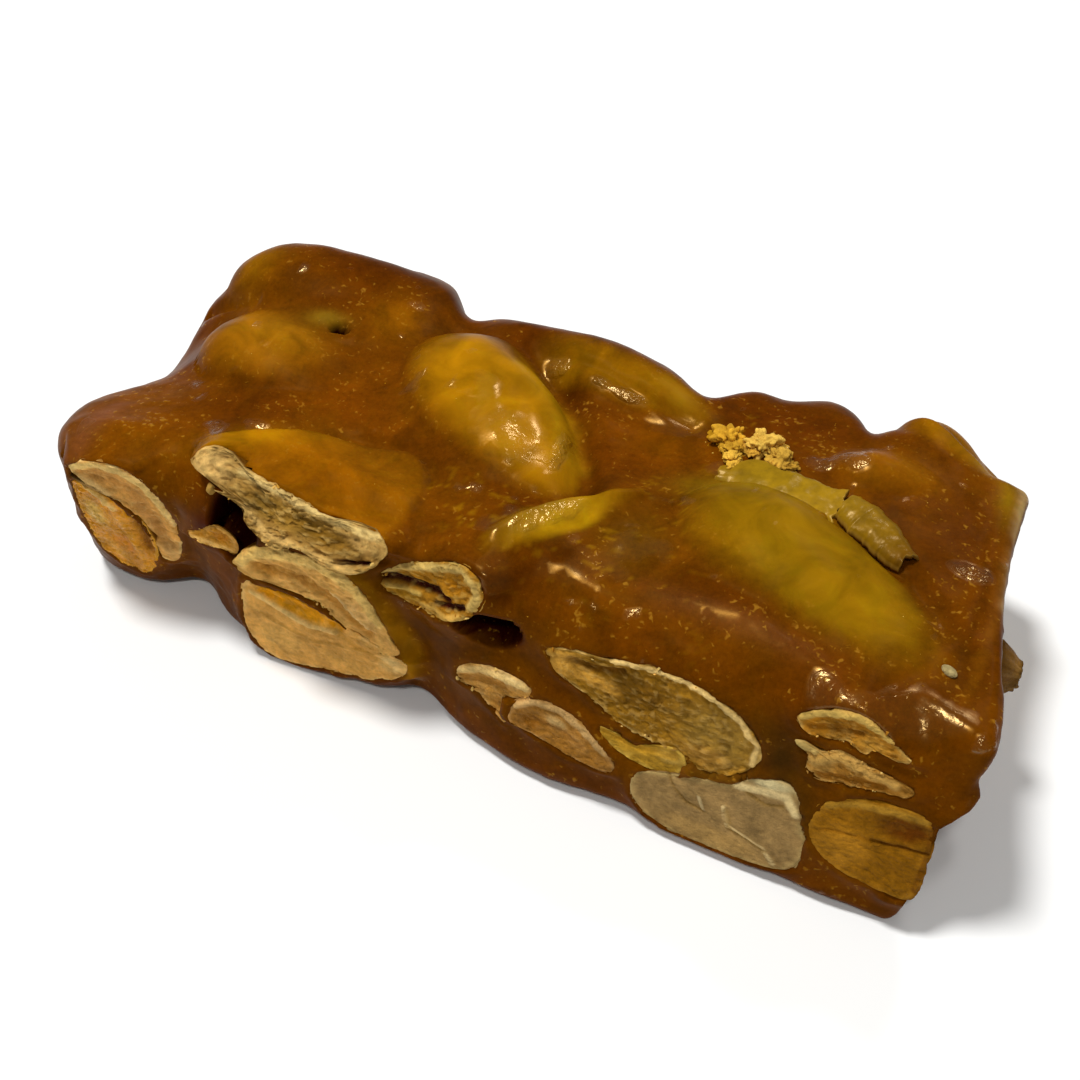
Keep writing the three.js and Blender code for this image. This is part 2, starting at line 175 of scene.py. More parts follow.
# flesh and rim are the colours of the middle of a face and of its edge, and rough is how uneven it is
# in mm. outline runs round the middle of the face, in mm. lines are cracks, creases and ridges: path,
# half the width, height, colour and strength. spots are patches: middle, reach, heading, height,
# colour and strength. The dark colours of sunken lines and spots are partly the caramel and browner
# flesh in them and partly painted shade. streak below 1 draws the grain out along the face, and glaze
# is how wet the sugar on it looks.
CUT_ALMONDS = {
    # The upper half of the almond at the left end, a band hollow along its middle.
    "almond_end_upper": dict(
        flesh="db9e4c", rim="f3cc7f", rough=0.12,
        outline=[
            (-5.1, 2.2), (-4.9, 3.1), (-4.1, 4.3), (-2.8, 4.9), (-0.4, 4.9), (1.2, 4.1), (2.5, 2.3),
            (3.1, 0.4), (3.3, -1.6), (3.1, -3.9), (2.5, -5.6), (1.6, -6.3), (0.8, -6), (0.6, -4.6),
            (0.2, -3), (-0.8, -1), (-1.8, 0.6), (-3, 1.4), (-4.2, 1.9),
        ],
        lines=[
            ([(-3.8, 3), (-1.8, 3.3), (0.4, 1.8), (1.5, -1), (1.8, -4.2)], 0.6, -0.25, "bb8340", 0.7),
            ([(-4.6, 3.6), (-2.6, 4.5), (-0.4, 4.4), (1.6, 3), (2.8, 0)], 0.35, 0.15, "f3cc79", 0.9),
            ([(-0.9, -0.6), (0, -2), (0.6, -3.6)], 0.3, -0.3, "9d6627", 0.8),
            ([(-4.6, 2.4), (-3.2, 1.9), (-2.2, 1.2)], 0.4, 0.2, "f0c479", 0.9),
        ],
        spots=[
            ((1.9, -4.8), (0.8, 1.1), 10, 0.12, "e6b56c", 0.7),
            ((0.7, -0.6), (0.5, 2.2), 20, -0.08, "c18a4c", 0.6),
        ],
    ),
    # Its lower half, wet with sugar, with a deep groove between the two.
    "almond_end_lower": dict(
        flesh="da8e0b", rim="e4a536", rough=0.16, glaze=0.95,
        outline=[
            (-2.3, 5), (-1, 5.2), (0.4, 4.7), (1.6, 3.9), (2.9, 3.1), (3.8, 1.2), (3.9, -1.4),
            (3.3, -3.6), (1.9, -5.2), (0.5, -5.2), (-1, -4.6), (-2.1, -3.1), (-2.6, -0.6), (-2.6, 1.6),
            (-2.4, 3.7),
        ],
        lines=[
            ([(-0.8, 5), (0.3, 4.2), (1, 3)], 0.35, 0.35, "e9bd68", 0.95),
            ([(2.6, 2.8), (3, 0.8), (2.9, -1.6)], 0.5, -0.7, "93570a", 0.9),
            ([(1, 1.6), (1.6, -0.8), (1.9, -3)], 0.5, 0.15, "e5a127", 0.5),
        ],
        spots=[
            ((-1.1, 1.6), (0.9, 1.6), 10, 0.2, "efbf5b", 0.95),
            ((-0.4, -2.9), (1.3, 0.6), -50, 0.1, "ebab41", 0.8),
            ((0.8, -2), (1.3, 1.3), 0, -0.25, "c47308", 0.6),
        ],
    ),
    # A flake of flesh under the left bubble.
    "almond_chip_left": dict(
        flesh="ce8f2d", rim="d9a24e", rough=0.14,
        outline=[
            (-2.5, -0.7), (-1.4, 0.3), (-0.2, 1.3), (1.1, 1.8), (2.2, 1.4), (2.6, 0.4), (2, -0.8),
            (0.2, -1.1), (-1.4, -1.1),
        ],
        lines=[
            ([(-2.1, -0.8), (0.2, -0.6), (1.8, -0.4)], 0.25, 0.1, "f3c16a", 0.8),
        ],
        spots=[
            ((1, 0.7), (0.9, 0.6), 20, -0.1, "bd7409", 0.8),
        ],
    ),
    # The long almond under the top: a knob, then a torn fibrous band with a crack at its end.
    "almond_shelf": dict(
        flesh="b18641", rim="cea85e", rough=0.26,
        outline=[
            (-8.5, 2.2), (-8.2, 3.4), (-7, 4.2), (-5.4, 4), (-4.2, 3.2), (-1.8, 2.7), (0.8, 2.1),
            (3.2, 1.7), (5.4, 1.8), (7.3, 1.6), (8.4, 0.5), (7.8, -0.8), (6.4, -1.9), (4.4, -2.2),
            (2.9, -1.8), (1.2, -1.5), (-0.4, -1.9), (-1.9, -1.6), (-3.2, -0.9), (-4.1, 0.3), (-5.4, 1),
            (-7, 1.1),
        ],
        lines=[
            ([(-4.4, 2.9), (-1.8, 2.4), (1, 1.8), (4, 1.4), (7.4, 1.2)], 0.3, 0.2, "ebc97e", 0.9),
            ([(4.7, -1.5), (5.9, -1.15), (7.1, -0.9)], 0.2, -1.0, CRACK_SHADE, 1),
            ([(-3.6, 0.4), (-1.4, -1.1), (1, -1.3), (3.6, -1.7), (6, -1.8)], 0.3, 0.1, "e9bd6e", 0.8),
        ],
        spots=[
            ((-6.8, 2.7), (1.7, 1.4), 0, 0.45, "e3b76b", 0.95),
            ((6.6, 0.5), (1.5, 0.7), 0, 0.15, "c99f5a", 0.8),
            ((0.2, 0.6), (4.6, 1), -8, -0.3, "86631b", 0.7),
            ((3.4, 0), (2.6, 0.6), -10, -0.2, "835b16", 0.7),
        ],
    ),
    # The upper half of an almond split along its seam.
    "almond_split_upper": dict(
        flesh="e4ac59", rim="e8b95f", rough=0.15,
        outline=[
            (-7.7, 0.3), (-7.2, 1.2), (-5.7, 2.7), (-3.4, 3.7), (-1.2, 4), (1.4, 3.9), (3, 2.8),
            (4.4, 1.3), (5.6, -1.4), (6.7, -3.5), (6.2, -4.2), (4.5, -4.3), (2.8, -3.4), (1.4, -2.3),
            (-0.2, -1.2), (-2.4, -0.6), (-4.8, -0.6), (-6.7, -0.5),
        ],
        lines=[
            ([(-6.8, 0.9), (-4.8, 2.5), (-2, 3.4), (1.2, 3.2), (3.4, 1.9), (5.2, -0.8)],
             0.55, 0.18, "f2ca72", 0.85),
            ([(-5.6, 1), (-3.4, 1.3), (-1, 1), (1.4, -0.2), (4, -2.6)], 0.5, -0.3, "b6792a", 0.7),
            ([(1.2, 0.8), (2.6, -0.6), (4.2, -2)], 0.14, 0.14, "eec882", 0.7),
        ],
        spots=[
            ((-4.6, 0.6), (1, 0.6), 10, -0.2, "d28f32", 0.8),
            ((3.6, -0.8), (1.6, 0.9), -50, 0.1, "e6b86f", 0.7),
        ],
    ),
    # Its lower half, with golden sugar run into the seam.
    "almond_split_lower": dict(
        flesh="dda34f", rim="f2c271", rough=0.09,
        outline=[
            (-6.8, 3.8), (-5.1, 4), (-2.6, 4.1), (-0.2, 3.5), (2.2, 2.8), (4.7, 1.7), (6.4, 1),
            (7.5, 0.9), (7.3, -0.4), (6.5, -1.5), (5.3, -2.2), (4, -2.8), (2.1, -3.1), (0.3, -3.4),
            (-2.7, -4), (-4.6, -4.1), (-6, -3.6), (-6.9, -2.4), (-7.4, -0.8), (-7.2, 1.6),
        ],
        lines=[
            ([(-5.2, 3.3), (-2.8, 3.2), (-0.6, 2.9), (1.4, 2.2)], 0.55, -0.3, "e2960f", 1),
            ([(-6.2, 3), (-3.6, 2), (-1.2, 1.3), (1.2, 1.5)], 0.22, 0.2, "f3c979", 0.9),
            ([(-5.4, 3.9), (-2.6, 3.8), (0, 3.1), (2, 2.4)], 0.16, -0.5, "a06808", 0.7),
            ([(-6.4, 1.2), (-3.6, 0.2), (-0.8, -0.4), (1.6, 0.2), (4.4, 0.5)], 0.16, 0.1, "be8b3c", 0.6),
            ([(1.2, 1.6), (3.2, 0.6), (6, -0.3)], 0.25, -0.12, "be8937", 0.6),
        ],
        spots=[
            ((-2.2, 2.4), (2.8, 0.6), -10, -0.3, "ea9f13", 0.95),
            ((-4, -1.4), (2, 1.6), 0, 0.1, "e6b15b", 0.7),
            ((6, 0), (1.1, 0.8), 0, 0.15, "f3cc80", 0.8),
            ((1.6, -1.8), (2.4, 0.8), -8, 0.08, "d5a04d", 0.6),
        ],
    ),
    # An almond broken to crumbs round two cracks that open into the slab.
    "almond_crumbly": dict(
        flesh="b2791c", rim="cfa955", rough=0.17,
        outline=[
            (-5.2, -1.5), (-4.2, -0.1), (-2.9, 0.9), (-1.7, 1.6), (0.2, 2.5), (2.1, 3.1), (3.5, 2.6),
            (4.2, 1.4), (4, 0.1), (3.2, -1), (1.9, -2), (0.2, -2.4), (-1.4, -2.3), (-2.9, -2.1),
            (-4.2, -2.2),
        ],
        lines=[
            ([(-4.6, -0.8), (-3.2, 0.5), (-1.7, 1.2), (0.2, 2), (2.1, 2.6), (3.3, 2), (3.7, 1.1), (3.4, 0)],
             0.32, 0.25, "dcb765", 1),
            ([(-5, -1.3), (-3.6, -0.6), (-1.8, -0.3), (0.2, -0.1), (1.2, -0.5)], 0.34, -0.55, CRACK_SHADE, 1),
            ([(0.4, -1.1), (1.4, -1), (2.6, -0.5)], 0.24, -0.5, CRACK_SHADE, 1),
            ([(-4, -1.5), (-2.4, -1), (-1, -0.9)], 0.16, 0.2, "d2ac55", 0.9),
            ([(-0.8, -1.8), (0.2, -1.6), (1.4, -1.9), (2.4, -1.3)], 0.22, 0.2, "d2a34c", 0.9),
        ],
        spots=[
            ((-2.4, -1.5), (1.5, 0.5), 8, 0.15, "9f7118", 0.9),
            ((2, 1.1), (1.3, 0.6), 10, -0.25, "a76b10", 0.8),
        ],
    ),
    # A curved sliver of flesh.
    "almond_sliver": dict(
        flesh="cc9342", rim="d5a965", rough=0.12,
        outline=[
            (-3, 0), (-2.4, 0.9), (-1, 1.7), (0.8, 2.1), (2.5, 2), (3.6, 1.4), (3, 0.3), (1.5, -0.4),
            (1.3, -1.7), (1.7, -3.1), (0.6, -2.5), (-0.6, -1.6), (-1.8, -1.1), (-2.8, -1),
        ],
        lines=[
            ([(-2.8, 0.1), (-1, 1.2), (1, 1.5), (3, 1.4)], 0.3, 0.2, "e5c078", 0.9),
            ([(-2.4, -0.3), (-0.6, 0.3), (1.2, 0.5)], 0.3, -0.2, "aa732d", 0.6),
        ],
        spots=[
            ((1.8, 1.5), (1.4, 0.5), 0, 0.2, "eed08d", 0.9),
            ((1, -1.6), (0.6, 0.9), 0, -0.1, "c08334", 0.6),
        ],
    ),
    # The slice to its right.
    "almond_slip": dict(
        flesh="a57029", rim="c08f51", rough=0.09,
        outline=[
            (-4.4, -0.3), (-4.3, 1.3), (-3.2, 2.4), (-1.8, 2.9), (0.3, 2.5), (1.7, 1.8), (3.1, 0.6),
            (4.3, -0.6), (4.1, -1.4), (2.3, -1.5), (0.6, -1.3), (-0.8, -1), (-2.6, -0.6),
        ],
        lines=[
            ([(-4, 1.4), (-2.6, 2.3), (-0.4, 2.4), (1.6, 1.4), (3.4, 0.2)], 0.28, 0.15, "cfa769", 0.85),
            ([(-2.4, 0.8), (-0.4, 0.8), (1.6, 0)], 0.25, -0.12, "935f22", 0.6),
        ],
        spots=[
            ((-0.6, 1.2), (0.8, 0.5), -20, 0.12, "d3af6e", 0.8),
            ((1.2, 0.2), (1, 0.4), -30, 0.1, "c08f49", 0.7),
            ((-2.8, 0.4), (1, 0.6), 0, -0.2, "84500e", 0.8),
        ],
    ),
    # The largest one, its side torn along the fibres and pale only where the knife cut.
    "almond_rough": dict(
        flesh="9c6e1a", rim="d2ab5f", rough=0.15, streak=0.75,
        outline=[
            (-8.5, 1.8), (-7, 2.5), (-4.5, 2.9), (-2, 3.4), (0, 3.7), (2, 3.6), (4, 3), (6, 2.1),
            (7.5, 0.8), (8.3, -0.7), (7.9, -2), (7, -3), (5.8, -3.7), (4, -4), (2.4, -3.4), (0.5, -3.1),
            (-1, -3), (-3, -2.2), (-5, -1), (-7, -0.2), (-7.8, 0.5),
        ],
        lines=[
            ([(-3.4, 3), (0, 3.4), (2.2, 3.3), (4.2, 2.7), (6.2, 1.7), (7.8, 0), (7.7, -1.6)],
             0.2, 0.14, "eec87b", 1),
            ([(-7.6, 0.5), (-5.4, 0.7), (-3.2, 0.3)], 0.5, 0.12, "d89e3d", 0.8),
            ([(-6.6, 1.7), (-4.6, 1.6), (-2.6, 2.2)], 0.3, -0.3, "5d3305", 0.7),
            ([(7.2, -2.6), (6.2, -3.4), (4, -3.7)], 0.22, 0.08, "c58b29", 0.7),
        ],
        spots=[
            ((5, -0.6), (2.8, 2.4), -30, 0, "a68033", 0.8),
            ((4.4, -2.6), (2, 1), 0, 0.05, "b38233", 0.8),
            ((-1.6, 0.8), (2.8, 1.6), 0, -0.1, "704a0d", 0.7),
            ((-7, 1.6), (1.3, 0.7), 10, 0.1, "e7ab47", 0.8),
        ],
    ),
    # A thin wedge under it, soaked with caramel.
    "almond_wedge": dict(
        flesh="ac8125", rim="cfa745", rough=0.07,
        outline=[
            (-3.2, 0.9), (-1.8, 0.9), (-0.2, 0.4), (1, 0.9), (2.6, 1.4), (3.7, 1), (4, 0.1), (3.3, -0.9),
            (1.4, -1.3), (-0.6, -1), (-2.2, -0.2),
        ],
        lines=[
            ([(-2.8, 0.6), (-1.2, 0.4), (0.8, 0.3), (3, 0.6)], 0.25, -0.15, "ca9327", 0.6),
        ],
        spots=[
            ((2.6, 0.4), (0.9, 0.5), 0, 0.1, "ddb354", 0.7),
        ],
    ),
    # An almond sliced clean, grey cream with a few knife creases.
    "almond_pale": dict(
        flesh="9c7c4a", rim="b1945b", rough=0.045,
        outline=[
            (-6.6, 0.1), (-6.2, 1.2), (-4.5, 1.9), (-3, 2.4), (-1, 3), (1, 3.6), (1.8, 4.4), (3, 4.9),
            (4.3, 5.3), (5.3, 4.8), (5.9, 3.4), (6.5, 1.8), (6.9, 0), (6.5, -1.5), (5.5, -2.3),
            (3, -2.8), (0, -2.9), (-3, -2.8), (-5, -2.2), (-6.2, -1.2),
        ],
        lines=[
            ([(-3.8, 2.1), (-3.2, 1.1), (-2.2, 0.3), (-0.6, 0.1)], 0.12, -0.14, "9a763c", 0.8),
            ([(-1.3, 1.2), (-0.7, 0.1)], 0.1, 0.1, "e9cd93", 0.8),
            ([(0.6, 1.2), (1.2, -0.3), (2.6, -0.6), (4, -1), (5, -2)], 0.12, 0.1, "e1c488", 0.8),
            ([(0.8, 1), (1.4, -0.5), (2.8, -0.8), (4.2, -1.2)], 0.12, -0.1, "9f7c40", 0.7),
            ([(2, 3.2), (3.4, 2.8), (4.6, 3.2)], 0.16, -0.12, "947134", 0.7),
            ([(1.2, 3.5), (3, 3.9), (4.8, 4.1), (5.6, 3)], 0.3, 0.1, "ecd193", 0.8),
        ],
        spots=[
            ((3.6, 4.7), (1.4, 0.4), 10, 0.1, "e0d099", 0.7),
            ((0, -1.8), (4, 0.9), 0, -0.06, "b58e4e", 0.6),
        ],
    ),
    # The upper of two thin halves, with caramel in the gap between them.
    "almond_gap_upper": dict(
        flesh="b57a22", rim="cda050", rough=0.15,
        outline=[
            (-3.6, -0.3), (-2.9, 0.7), (-1.5, 1.4), (0.1, 1.8), (1.5, 1.5), (2.5, 0.8), (3.2, 0.2),
            (4.4, -0.7), (3.6, -1), (2, -0.7), (1.4, -1.4), (0.2, -0.9), (-1.5, -1.3), (-2.9, -1.2),
        ],
        lines=[
            ([(-3.3, 0), (-2.6, 0.5), (-1.4, 1.1), (0.1, 1.4), (1.5, 1.1), (2.6, 0.5)],
             0.28, 0.2, "d8b15a", 1),
            ([(-2.6, -0.6), (-1, -0.1), (0.8, 0.2)], 0.3, -0.2, "8f5811", 0.7),
        ],
        spots=[
            ((-2, -0.2), (0.8, 0.5), 0, -0.1, "c1801b", 0.8),
            ((1.6, -0.4), (1, 0.5), 0, 0.1, "c48f36", 0.7),
        ],
    ),
    # The lower half.
    "almond_gap_lower": dict(
        flesh="a67127", rim="c3964d", rough=0.14,
        outline=[
            (-4.6, 1.3), (-3.8, 1.5), (-2.8, 1.2), (-1.5, 1.9), (-0.4, 1.6), (1.6, 1.3), (3.8, 0.7),
            (3.6, 0), (1.7, -0.4), (-0.6, -0.9), (-2.6, -1.2), (-3.5, -0.5), (-3.6, 0.5),
        ],
        lines=[
            ([(-4.4, 1.2), (-3.2, 1)], 0.3, 0.2, "c3a660", 0.9),
            ([(-3, 0.2), (-1.4, 1.3), (0.6, 0.8), (2.6, 0.6)], 0.35, 0.2, "c79c51", 0.8),
            ([(-2.4, -0.7), (-0.4, -0.3), (1.8, 0)], 0.3, -0.15, "86520f", 0.8),
        ],
        spots=[
            ((-2.4, 0.2), (0.8, 0.8), 0, 0.1, "c79749", 0.7),
        ],
    ),
    # The almond of the front right corner, brown with sugar and cracked along its seam.
    "almond_corner": dict(
        flesh="8d5c0c", rim="a06e1b", rough=0.08,
        outline=[
            (-4.2, 0), (-4, 1.2), (-3.2, 2.6), (-1.3, 3.7), (0.6, 4), (2.2, 4.1), (3.7, 3.8), (4.1, 2.4),
            (4.2, 0.8), (4.2, -1.8), (3.6, -3), (1.7, -3.1), (-1.2, -2.7), (-2.6, -2.1), (-3.6, -1.3),
        ],
        lines=[
            ([(0.2, 0.7), (2, 0.95), (4, 1.2)], 0.12, -0.15, "603405", 0.9),
            ([(-3.2, 0.2), (-1.4, 0.6), (0.6, 0.7)], 0.14, -0.08, "8f5a0c", 0.6),
            ([(-3.2, 2.2), (-1.2, 3.2), (1, 3.5), (3.2, 3.6)], 0.28, 0.1, "b6882e", 0.7),
            ([(3.9, 3.2), (4, 1), (3.9, -2)], 0.2, 0, "6e4008", 0.7),
        ],
        spots=[
            ((2.2, 2.4), (1.8, 0.9), 4, -0.25, "613003", 0.95),
            ((-1.6, -0.6), (1.8, 1.5), 0, 0.08, "b17a20", 0.7),
        ],
    ),
    # The ragged chip that stands out of the right end.
    "almond_shard": dict(
        flesh="6e4c1e", rim="94703a", rough=0.24,
        lines=[],
        spots=[],
    ),
}
SIDE_LOOKS = [  # the same for the almonds of the back and the ends, used in turn
    dict(
        flesh="d39b43", rim="f2c265", rough=0.1,
        lines=[([(-3.4, 0.2), (-1, -0.3), (1.6, 0), (3.6, -0.5)], 0.22, -0.3, "74440c", 0.8)],
        spots=[((-1, 0.4), (1.6, 0.8), 0, -0.1, "b17726", 0.7)],
    ),
    dict(
        flesh="b57e2d", rim="e7b85d", rough=0.22,
        lines=[([(-2.6, 0.9), (0, 1.3), (2.8, 0.8)], 0.3, 0.14, "eebf63", 0.8)],
        spots=[((1.4, 0.2), (1.8, 1), 20, 0.1, "915d13", 0.8)],
    ),
    dict(
        flesh="dea64d", rim="f3c76a", rough=0.06,
        lines=[([(-1.8, 0.8), (-0.6, 0), (0.2, -1)], 0.14, -0.14, "97651e", 0.8)],
        spots=[((0.6, -0.6), (1.8, 0.8), 0, -0.08, "ca8f37", 0.7)],
    ),
    dict(
        flesh="c38835", rim="eaba59", rough=0.15,
        lines=[([(-2.4, -0.8), (0.2, -0.2), (2.6, -0.6)], 0.3, -0.5, "5f2c05", 0.9)],
        spots=[((-1.6, -0.2), (1.2, 0.9), 0, 0.1, "e4b051", 0.7)],
    ),
]
OUTLINE_POINTS = 260
ANGLES = np.linspace(-math.pi, math.pi, OUTLINE_POINTS, endpoint=False)
FACE_EDGE = 0.94  # share of a cut almond's outline at which its flat face starts to round off
USUAL_STREAK = 0.6
# Colours of pits and of sunk skirts: painted shade, and for the skirts also caramel soaked into the almond's
# side.
PIT_SHADE, SUNK_BROWN_AND_SHADE = "6e4a18", "70450c"
SKIRT = ((1.006, 0.06), (1.0, 0.3), (0.97, 1.0), (0.88, 2.6))  # share of the outline, mm down
SKIRT_SHADE = (0.5, 1, 1, 1)  # how much darker each ring of the skirt is, from caramel soaked into it and painted shade
CHIP = "almond_shard"  # a ragged chip that stands out of the right end and widens into the slab
CHIP_FACE = 0.42  # share of its outline that the chip's face takes up
CHIP_SKIRT = ((1.1, 0.3), (1.45, 0.9), (1.8, 1.7), (2.1, 3.4))
CHIP_SHADE = (0.1, 0.3, 0.5, 0.7)
LEFT_CHIP_DEPTH = 0.14  # the small chip at the left is a flake, so its skirt is shallow
# Large numbers that turn the place of a cell into one that looks random.
CELL_STEPS, CELL_SEED, CELL_MIX, CELL_BITS = (374761393, 668265263, 1103515245), 977, 1274126177, 0xFFFFFFFF


def bell(distance):
    return np.exp(-np.square(distance))


def ease(value):
    value = np.clip(value, 0, 1)
    return value * value * (3 - 2 * value)


def lumps(points, size, seed, octaves=1):
    """Smooth random lumps about size mm across, between -1 and 1. Each further octave is half as big."""
    total = np.zeros(len(points))
    weight = 1.0
    for octave in range(octaves):
        place = points / (size * 0.5**octave) + 31.7 * (seed + octave)
        cell = np.floor(place).astype(np.int64)
        share = ease(place - cell)
        for corner in itertools.product((0, 1), repeat=3):
            mixed = (cell + corner) @ np.array(CELL_STEPS) + CELL_SEED * seed
            mixed = ((mixed ^ (mixed >> 13)) * CELL_MIX) & CELL_BITS
            value = ((mixed ^ (mixed >> 16)) & 0xFFFF) / 32767.5 - 1
            nearness = np.where(corner, share, 1 - share).prod(axis=1)
            total += weight * value * nearness
        weight *= 0.5
    return total


def line_distance(a, b, path):
    """How far each point is from the line through the points of path."""
    nearest = np.full(len(a), np.inf)
    for (a0, b0), (a1, b1) in zip(path[:-1], path[1:]):
        da, db = a1 - a0, b1 - b0
        share = np.clip(((a - a0) * da + (b - b0) * db) / (da * da + db * db), 0, 1)
        nearest = np.minimum(nearest, np.hypot(a - a0 - share * da, b - b0 - share * db))
    return nearest


def oval(a, b, middle, reach, heading=0):
    """1 at the middle of an oval patch, fading away past its reach along and across its heading."""
    turn = math.radians(heading)
    da, db = a - middle[0], b - middle[1]
    forward = (da * math.cos(turn) + db * math.sin(turn)) / reach[0]
    sideways = (db * math.cos(turn) - da * math.sin(turn)) / reach[1]
    return bell(np.hypot(forward, sideways))


def stained(tint, hex_colour, strength):
    """The tint of each point, with a colour mixed into it as strongly as strength says."""
    return tint + (np.array(linear(hex_colour)[:3]) - tint) * np.clip(strength, 0, 1)[:, None]


def curve_through(before, start, end, after, t):
    """The point at share t of the way from start to end on a smooth curve through four points."""
    return 0.5 * (
        2 * start + (end - before) * t + (2 * before - 5 * start + 4 * end - after) * t**2
        + (3 * start - before - 3 * end + after) * t**3
    )


def outline_radii(corners):
    """The radius at each of ANGLES of a smooth closed curve through corners, round the origin."""
    corners = np.array(corners, float)
    corners = corners[np.argsort(np.arctan2(corners[:, 1], corners[:, 0]))]
    before, after, last = (np.roll(corners, steps, 0) for steps in (1, -1, -2))
    t = np.linspace(0, 1, 24, endpoint=False)[:, None, None]
    curve = curve_through(before, corners, after, last, t).transpose(1, 0, 2).reshape(-1, 2)
    angle = np.arctan2(curve[:, 1], curve[:, 0])
    order = np.argsort(angle)
    return np.interp(ANGLES, angle[order], np.hypot(*curve.T)[order], period=2 * math.pi)


def inside_outline(a, b, radii):
    """How many mm each point lies inside an outline round the origin, negative outside it."""
    return np.interp(np.arctan2(b, a), ANGLES, radii, period=2 * math.pi) - np.hypot(a, b)


def cut_face(node):
    """A cut almond's flat face in the frame: its middle, the way out of it, right and up along it as
    seen from outside, and its corners round the middle, in mm in the bar's own frame."""
    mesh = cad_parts[node].data
    points = np.array([v.co for v in mesh.vertices]) / MM - BAR_SHIFT
    triangles = np.array([p.vertices for p in mesh.polygons])
    a, b, c = points[triangles].transpose(1, 0, 2)
    facing = np.cross(b - a, c - a)
    area = np.linalg.norm(facing, axis=1)
    facing = facing / area[:, None]
    offset = (facing * a).sum(1)
    alike = (facing @ facing.T > 0.9998) & (abs(offset[:, None] - offset) < 0.02)
    flattest = alike[(alike * area).sum(1).argmax()]
    out = (facing[flattest] * area[flattest, None]).sum(0)
    out = out / np.linalg.norm(out)
    corners = np.unique(points[np.unique(triangles[flattest])].round(4), axis=0)
    right = np.cross([0, 0, 1], out)
    right = right / np.linalg.norm(right)
    up = np.cross(out, right)
    far = np.linalg.norm(corners - corners.mean(0), axis=1)
    rim = corners[far > 0.35 * np.median(far)]
    middle = rim.mean(0)
    flat = np.stack([(rim - middle) @ right, (rim - middle) @ up], -1)
    return dict(middle=middle, out=out, right=right, up=up, corners=flat / FACE_EDGE)


def broken_face(local, inside, made, seed):
    """The height, tint and wetness of each point of a cut face, from the way its flesh broke."""
    a, b = local[:, 0], local[:, 1]
    drawn_out = local * [made.get("streak", USUAL_STREAK), 1.2, 1]
    grain = lumps(drawn_out, 0.55, seed, 3) / 1.4
    pits = ease((lumps(drawn_out, 0.36, seed + 5, 2) - 0.2) / 0.5)
    fluff = ease((lumps(drawn_out, 0.3, seed + 9, 3) - 0.1) / 0.5)
    height = made["rough"] * (grain - 0.6 * pits + 0.6 * fluff) * ease(inside / 0.2 + 0.4)
    height = height - 0.1 * bell(inside / 0.1)
    flesh = np.tile(linear(made["flesh"])[:3], (len(a), 1))
    patchy = lumps(local, 1.0, seed + 7, 3)
    broken = ease((lumps(local, 0.9, seed + 11, 3) + 0.6 - 2 * made["rough"]) / 0.4)
    pale = 0.95 * bell((inside - 0.08) / (0.34 + 0.16 * patchy)) * broken
    flesh = stained(flesh, made["rim"], pale)
    for middle, reach, heading, rise, colour, strength in made["spots"]:
        share = oval(a, b, middle, reach, heading)
        height = height + rise * share
        flesh = stained(flesh, colour, strength * ease(1.3 * share + 0.25 * patchy * share))
    wet = made.get("glaze", 0) * (1 - pale)
    for path, half_width, rise, colour, strength in made["lines"]:
        wander = 0.2 * half_width * lumps(local, 0.7, seed + 1, 2) + 0.06 * lumps(local, 1.6, seed + 4)
        share = bell((line_distance(a, b, path) + wander) / half_width)
        height = height + rise * share
        flesh = stained(flesh, colour, strength * ease(1.4 * share))
        if colour == CRACK_SHADE:
            wet = np.maximum(wet, share)
    strong = min(1, 3 * made["rough"])
    flesh = stained(flesh, made["rim"], 0.65 * strong * fluff)
    # The pits are stained darker as painted shade.
    flesh = stained(flesh, PIT_SHADE, 0.4 * strong * pits)
    # Painted light and shade: the flesh is lighter where its grain stands up and darker where it sinks, with
    # a random tone over it.
    shade = 1.1 * made["rough"] * grain + 0.1 * patchy
    return height, flesh * (1 + np.clip(shade, -0.6, 0.4))[:, None], wet


